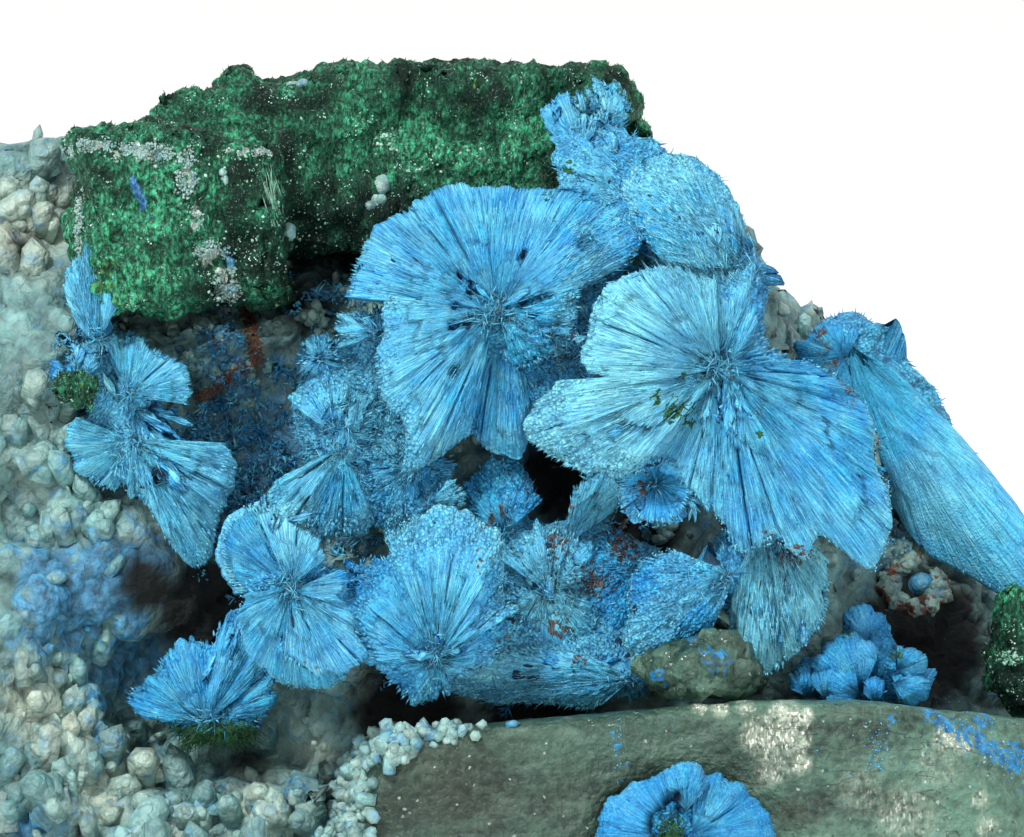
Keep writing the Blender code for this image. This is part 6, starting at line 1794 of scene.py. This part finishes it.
class Shader:
    """A material whose Principled node takes its colours from vertex values and procedural textures. Places
    are the object's own unless given, and each colour is laid over the ones before it."""

    def __init__(self, name, roughness, specular, colour):
        self.material = bpy.data.materials.new(name)
        self.material.use_nodes = True
        self.main = self.material.node_tree.nodes["Principled BSDF"]
        self.fix(**{"Roughness": roughness, "Specular IOR Level": specular})
        self.object_place = self.add("TexCoord").outputs["Object"]
        self.colour = colour

    def add(self, kind):
        return self.material.node_tree.nodes.new(f"ShaderNode{kind}")

    def fix(self, **settings):
        """Sets sockets of the Principled node that are the same all over."""
        for name, value in settings.items():
            self.main.inputs[name].default_value = value

    def put(self, value, socket):
        """Links a value or a socket, or sets a colour or a number."""
        if isinstance(value, Value):
            value = value.socket
        if isinstance(value, bpy.types.NodeSocket):
            self.material.node_tree.links.new(value, socket)
        elif isinstance(value, tuple):
            socket.default_value = (*value, 1.0)
        else:
            socket.default_value = value

    def mark(self, name):
        """A vertex value."""
        node = self.add("Attribute")
        node.attribute_name = name
        return Value(self, node.outputs["Fac"])

    def math(self, operation, first, second):
        node = self.add("Math")
        node.operation = operation
        self.put(first, node.inputs[0])
        self.put(second, node.inputs[1])
        return Value(self, node.outputs[0])

    def mix(self, share, first, second):
        """A colour between two, by this share."""
        node = self.add("Mix")
        node.data_type = "RGBA"
        self.put(share, node.inputs["Factor"])
        self.put(first, node.inputs[6])
        self.put(second, node.inputs[7])
        return node.outputs[2]

    def over(self, share, colour):
        """Lays a colour over the ones before it, by this share."""
        self.colour = self.mix(share, self.colour, colour)

    def place(self, x, y, z):
        node = self.add("CombineXYZ")
        for value, socket in zip((x, y, z), node.inputs):
            self.put(value, socket)
        return node.outputs[0]

    def scaled(self, *factors):
        """The object's place with its axes stretched by these factors."""
        node = self.add("VectorMath")
        node.operation = "MULTIPLY"
        self.put(self.object_place, node.inputs[0])
        node.inputs[1].default_value = factors
        return node.outputs[0]

    def noise(self, scale, detail, low, high, place=None):
        """Noise with low becoming 0 and high becoming 1."""
        node = self.add("TexNoise")
        node.inputs["Scale"].default_value = scale
        node.inputs["Detail"].default_value = detail
        self.put(place or self.object_place, node.inputs["Vector"])
        return Value(self, node.outputs["Fac"]).between(low, high)

    def cells(self, scale, place=None):
        """Scattered cells: distance from each one's middle, in cell sizes, and a random number for each."""
        node = self.add("TexVoronoi")
        node.inputs["Scale"].default_value = scale
        self.put(place or self.object_place, node.inputs["Vector"])
        split = self.add("SeparateColor")
        self.put(node.outputs["Color"], split.inputs["Color"])
        return Value(self, node.outputs["Distance"]), Value(self, split.outputs["Red"])

    def ridges(self, place, scale=1.0, detail=2.0):
        """Nought along thin wandering lines, more between them."""
        return abs(self.noise(scale, detail, 0.0, 1.0, place) - 0.5)

    def patches(self, name, scale):
        """Where a vertex value is strong, in crisp ragged specks that run together where it is strongest."""
        return (self.mark(name) * 0.75 + self.noise(scale, 5.0, 0.30, 0.70)).between(1.05, 1.15)

    def finish(self, height=None, distance=0.0, strength=0.0):
        """The finished material, with a bump of this height, in metres, where one is given."""
        if height:
            node = self.add("Bump")
            node.inputs["Distance"].default_value = distance
            node.inputs["Strength"].default_value = strength
            self.put(height, node.inputs["Height"])
            self.put(node.outputs["Normal"], self.main.inputs["Normal"])
        self.put(self.colour, self.main.inputs["Base Color"])
        return self.material


def blue_finish():
    """Silky radiating fibres: fine lines along each ray, velvety tips, light bundle ends and dark hearts,
    with painted shade in the grooves and gaps between fibres and painted highlights along them.
    """
    look = Shader("shattuckite_fibres", 0.50, 0.28, None)
    across, reach, grain = (look.mark(name) for name in ("across", "reach", "grain"))
    smooth = 1.0 - grain
    lines = look.noise(1.0, 4.0, 0.32, 0.68, look.place(across * 15.0, reach, 0.0))
    # Painted shade along thin grooves between the fibres.
    groove_shade = look.ridges(look.place(across * 7.0, reach * 0.45, 7.0)).between(0.07, 0.0)
    # Painted highlights along thin lines of fibres.
    highlight_line = look.ridges(look.place(across * 11.0, reach * 0.8, 21.0)).between(0.035, 0.0)
    middle, chance = look.cells(6200.0)
    # Painted shade in the gaps between velvety tips.
    gap_shade = grain * middle.between(0.35, 0.75)
    fine = look.noise(9000.0, 3.0, 0.32, 0.68)
    bundles = look.noise(1.0, 2.0, 0.30, 0.70, look.place(across * 1.6, reach * 0.25, 3.0))
    wave = (lines - 0.5) * (smooth * 0.85)
    speck = (chance - 0.5) * (grain * 0.5)
    tone = (look.mark("tone") + wave) + (speck + (fine - 0.5) * 0.40) + (bundles - 0.5) * 0.32
    tone = tone.between(-0.08, 0.95)
    look.colour = look.mix(tone, (0.005, 0.15, 0.46), (0.055, 0.63, 0.97))
    look.over(look.noise(420.0, 3.0, 0.42, 0.62) * 0.40, (0.014, 0.36, 0.97))
    look.over(look.mark("pale") * (lines * 0.9 + 0.35) + look.mark("along") * 0.06, (0.27, 0.80, 0.89))
    look.over(gap_shade * 0.6, (0.004, 0.10, 0.28))
    look.over((highlight_line * smooth) * (tone * 0.6), (0.40, 0.88, 0.95))
    groove_shade = (groove_shade * smooth) * 0.50
    look.over(groove_shade, (0.005, 0.12, 0.30))
    # Near black: painted shade in pits, clefts, cracks and plugs, and the dark of some needles and of the
    # hearts.
    look.over(look.mark("core").between(0.15, 0.95), (0.002, 0.022, 0.055))
    look.over(look.patches("dark", 3000.0) * 0.8, look.mix(fine, (0.02, 0.09, 0.14), (0.17, 0.38, 0.46)))
    look.over(look.patches("olive", 4200.0), look.mix(chance, (0.006, 0.050, 0.022), (0.045, 0.17, 0.06)))
    brown = look.mix(chance, (0.030, 0.018, 0.012), (0.20, 0.095, 0.040))
    look.over(look.patches("rust", 3800.0) * 0.90, brown)
    return look.finish((lines * smooth + gap_shade * -1.5 - groove_shade) + fine * 0.7, 0.00007, 0.9)


def green_finish():
    """Dark green granular malachite: some of it black, some emerald, with painted near-black shade between
    its grains and small white glints painted into it.
    """
    look = Shader("malachite_needles", 0.45, 0.16, None)
    upright = look.scaled(1.0, 1.0, 0.5)
    grit = look.noise(5600.0, 6.0, 0.40, 0.62, upright)
    middle, chance = look.cells(9000.0, upright)
    _, spark = look.cells(16000.0)
    own_tone = look.mark("tone")
    tone = (own_tone * (grit * 1.9 + 0.15)) * (chance * 1.2 + 0.35)
    look.colour = look.mix(tone, (0.0012, 0.014, 0.008), (0.048, 0.44, 0.215))
    look.over(look.noise(4200.0, 5.0, 0.55, 0.68) * (own_tone * 0.7), (0.10, 0.52, 0.36))
    look.over(look.noise(7000.0, 3.0, 0.45, 0.72) * (own_tone * 0.45 + 0.03), (0.23, 0.50, 0.32))
    # Painted shade: near black at the edges of the grains.
    look.over(middle.between(0.5, 0.9) * 0.6, (0.0008, 0.008, 0.006))
    look.over(look.mark("dark") * 0.6, (0.0015, 0.014, 0.011))
    look.over(look.patches("rust", 3200.0) * 0.75, look.mix(grit, (0.02, 0.08, 0.015), (0.17, 0.28, 0.05)))
    look.over(look.patches("olive", 2400.0), look.mix(grit * chance, (0.14, 0.22, 0.20), (0.74, 0.80, 0.72)))
    look.over(look.mark("core").between(0.45, 0.60), look.mix(grit, (0.010, 0.08, 0.20), (0.10, 0.30, 0.60)))
    # Painted glints: white on pale needles and crumbs and on scattered cells.
    shine = spark.between(0.955, 0.960) * (look.noise(900.0, 3.0, 0.54, 0.66) * 0.90 + 0.10)
    look.over(look.mark("pale") + shine, (0.56, 0.86, 0.72))
    return look.finish(grit + chance, 0.00008, 0.9)


def quartz_finish():
    """Grey-green to cream drusy quartz, stained blue and rusty, with painted near-black shade in its hollows
    and between its grains.
    """
    look = Shader("drusy_quartz", 0.30, 0.5, None)
    look.fix(**{"Subsurface Weight": 0.15, "Subsurface Scale": 0.0006})
    cloud = look.noise(500.0, 5.0, 0.36, 0.64)
    middle, chance = look.cells(1500.0)
    edge = middle.between(0.45, 0.95)
    dark = look.mark("dark")
    look.colour = look.mix(look.mark("tone"), (0.030, 0.105, 0.115), (0.21, 0.47, 0.45))
    look.over(cloud * 0.4, (0.26, 0.50, 0.49))
    look.over(look.mark("pale"), (0.58, 0.66, 0.52))
    look.over(chance * 0.25, (0.36, 0.52, 0.46))
    # Painted shade at the edges of the cells, where the bump sinks grooves between grains.
    look.over(edge * 0.5, (0.02, 0.06, 0.06))
    blotch = look.mark("core") + look.noise(1200.0, 6.0, 0.30, 0.70)
    blue = look.mix(look.noise(2400.0, 5.0, 0.32, 0.68), (0.008, 0.07, 0.15), (0.06, 0.33, 0.58))
    look.over(blotch.between(0.65, 1.30) * 0.90, blue)
    look.over(look.patches("rust", 1400.0), look.mix(cloud, (0.07, 0.030, 0.018), (0.24, 0.105, 0.06)))
    # Near black where dark: painted shade in the rock's hollows and cracks, and some darker beads of the
    # cup.
    look.over(dark, (0.002, 0.005, 0.005))
    look.put(dark.between(-0.45, 0.85), look.main.inputs["Roughness"])
    return look.finish(look.noise(2600.0, 4.0, 0.3, 0.7) + edge * -1.2, 0.00014, 0.8)


def smoky_finish():
    """Translucent grey-green quartz with clouds, smoke, frost, glitter and glints painted as white
    highlights, cracks and a little blue.
    """
    look = Shader("smoky_quartz", 0.28, 0.25, None)
    look.fix(**{
        "IOR": 1.54, "Coat Weight": 0.15, "Coat Roughness": 0.10, "Transmission Weight": 0.12,
        "Subsurface Weight": 0.2, "Subsurface Scale": 0.0010})
    slant = look.scaled(0.45, 1.0, 1.2)
    cloud = look.noise(420.0, 8.0, 0.34, 0.66, slant)
    grit = look.noise(2600.0, 5.0, 0.34, 0.66)
    frosted = look.mark("pale")
    tone = (cloud * 0.55 + grit * 0.35) * (look.mark("tone") + 0.35)
    look.colour = look.mix(tone, (0.006, 0.024, 0.017), (0.115, 0.245, 0.175))
    look.over(look.noise(1100.0, 6.0, 0.52, 0.74, slant) * 0.35, (0.23, 0.38, 0.29))
    look.over(look.mark("dark") * 0.6, look.mix(grit, (0.012, 0.016, 0.010), (0.060, 0.072, 0.046)))
    _, flake = look.cells(12000.0, look.scaled(1.0, 1.0, 0.4))
    look.over((frosted.between(0.25, 1.1) * (grit + flake)) * 0.75, (0.52, 0.60, 0.47))
    # Painted glitter: white highlights on flakes of the frost.
    look.over(flake.between(0.80, 0.90) * frosted.between(0.35, 0.9), (0.95, 0.93, 0.84))
    look.over(look.noise(3600.0, 2.0, 0.66, 0.70) * 0.6, (0.010, 0.024, 0.022))
    crack = look.ridges(look.scaled(0.5, 1.0, 1.6), 260.0, 5.0).between(0.006, 0.0)
    look.over((crack * look.noise(180.0, 1.0, 0.5, 0.6)) * 0.8, (0.012, 0.022, 0.018))
    # Painted glints: scattered white specks.
    _, spark = look.cells(9000.0)
    look.over(spark.between(0.993, 0.996) * 0.5, (0.60, 0.70, 0.62))
    look.over(look.patches("core", 3600.0), look.mix(grit, (0.006, 0.09, 0.22), (0.03, 0.28, 0.58)))
    return look.finish(grit + cloud * 2.0, 0.00014, 0.8)


def studio():
    """A pale floor under the specimen, soft light and the photograph's camera."""
    bm = bmesh.new()
    bmesh.ops.create_grid(bm, x_segments=1, y_segments=1, size=FLOOR_HALF)
    mesh = bpy.data.meshes.new("floor")
    bm.to_mesh(mesh)
    bm.free()
    mesh.materials.append(Shader("floor", 0.9, 0.2, FLOOR_COLOUR).finish())
    placed("floor", mesh)

    world = bpy.data.worlds.new("studio")
    bpy.context.scene.world = world
    world.use_nodes = True
    world.node_tree.nodes["Background"].inputs["Color"].default_value = (1.0, 1.0, 1.0, 1.0)
    world.node_tree.nodes["Background"].inputs["Strength"].default_value = WORLD_STRENGTH
    for name, place, size, power in LIGHTS:
        data = bpy.data.lights.new(name, "AREA")
        data.size = size
        data.energy = power
        lamp = placed(name, data)
        lamp.location = place
        lamp.rotation_euler = (LAMP_AIM - Vector(place)).to_track_quat("-Z", "Y").to_euler()

    data = bpy.data.cameras.new("camera")
    data.sensor_width = SENSOR
    data.lens = SENSOR * CAMERA_DISTANCE / VIEW_WIDTH
    data.clip_start = 0.01
    data.clip_end = 20.0
    camera = placed("camera", data)
    eye = Vector((0.0, FACE_DEPTH - CAMERA_DISTANCE, VIEW_CENTRE_HEIGHT))
    camera.matrix_world = (
        DISPLAY_TO_WORLD @ Matrix.Translation(eye * MM) @ Matrix.Rotation(math.pi / 2, 4, "X"))
    bpy.context.scene.camera = camera
    bpy.context.scene.view_settings.view_transform = "Standard"


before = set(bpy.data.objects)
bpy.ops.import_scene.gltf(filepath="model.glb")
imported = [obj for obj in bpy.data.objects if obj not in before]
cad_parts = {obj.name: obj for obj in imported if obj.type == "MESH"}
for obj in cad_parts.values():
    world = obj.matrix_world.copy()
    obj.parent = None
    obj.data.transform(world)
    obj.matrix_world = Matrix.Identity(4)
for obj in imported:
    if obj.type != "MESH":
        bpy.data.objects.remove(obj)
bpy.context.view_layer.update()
studio()
# The finish of each of the record's material slots.
finishes = {
    "shattuckite": blue_finish(), "malachite": green_finish(), "drusy_quartz": quartz_finish(),
    "smoky_quartz": smoky_finish()}

for number, node in enumerate(SPRAYS):
    blue_piece(node, 100 + 31 * number)
crust = green_piece("malachite_crust", 15.0, 7)
green_piece("malachite_east_knob", 2.4, 8)
green_piece("malachite_west_knob", 1.4, 9)
rock = matrix_piece()
lump_piece(tree_over(rock), 62)
ledge = clear_piece("quartz_ledge", 0.32, 3)
stub = clear_piece("quartz_stub", 0.24, 4)
tuft_piece(tree_over(rock, ledge), 61)
sugar_piece(tree_over(crust), 57)
nook_grains(tree_over(crust, rock), 58)
rim_crust_piece(tree_over(ledge), 59)
heap_piece(tree_over(ledge, stub, rock), 60)
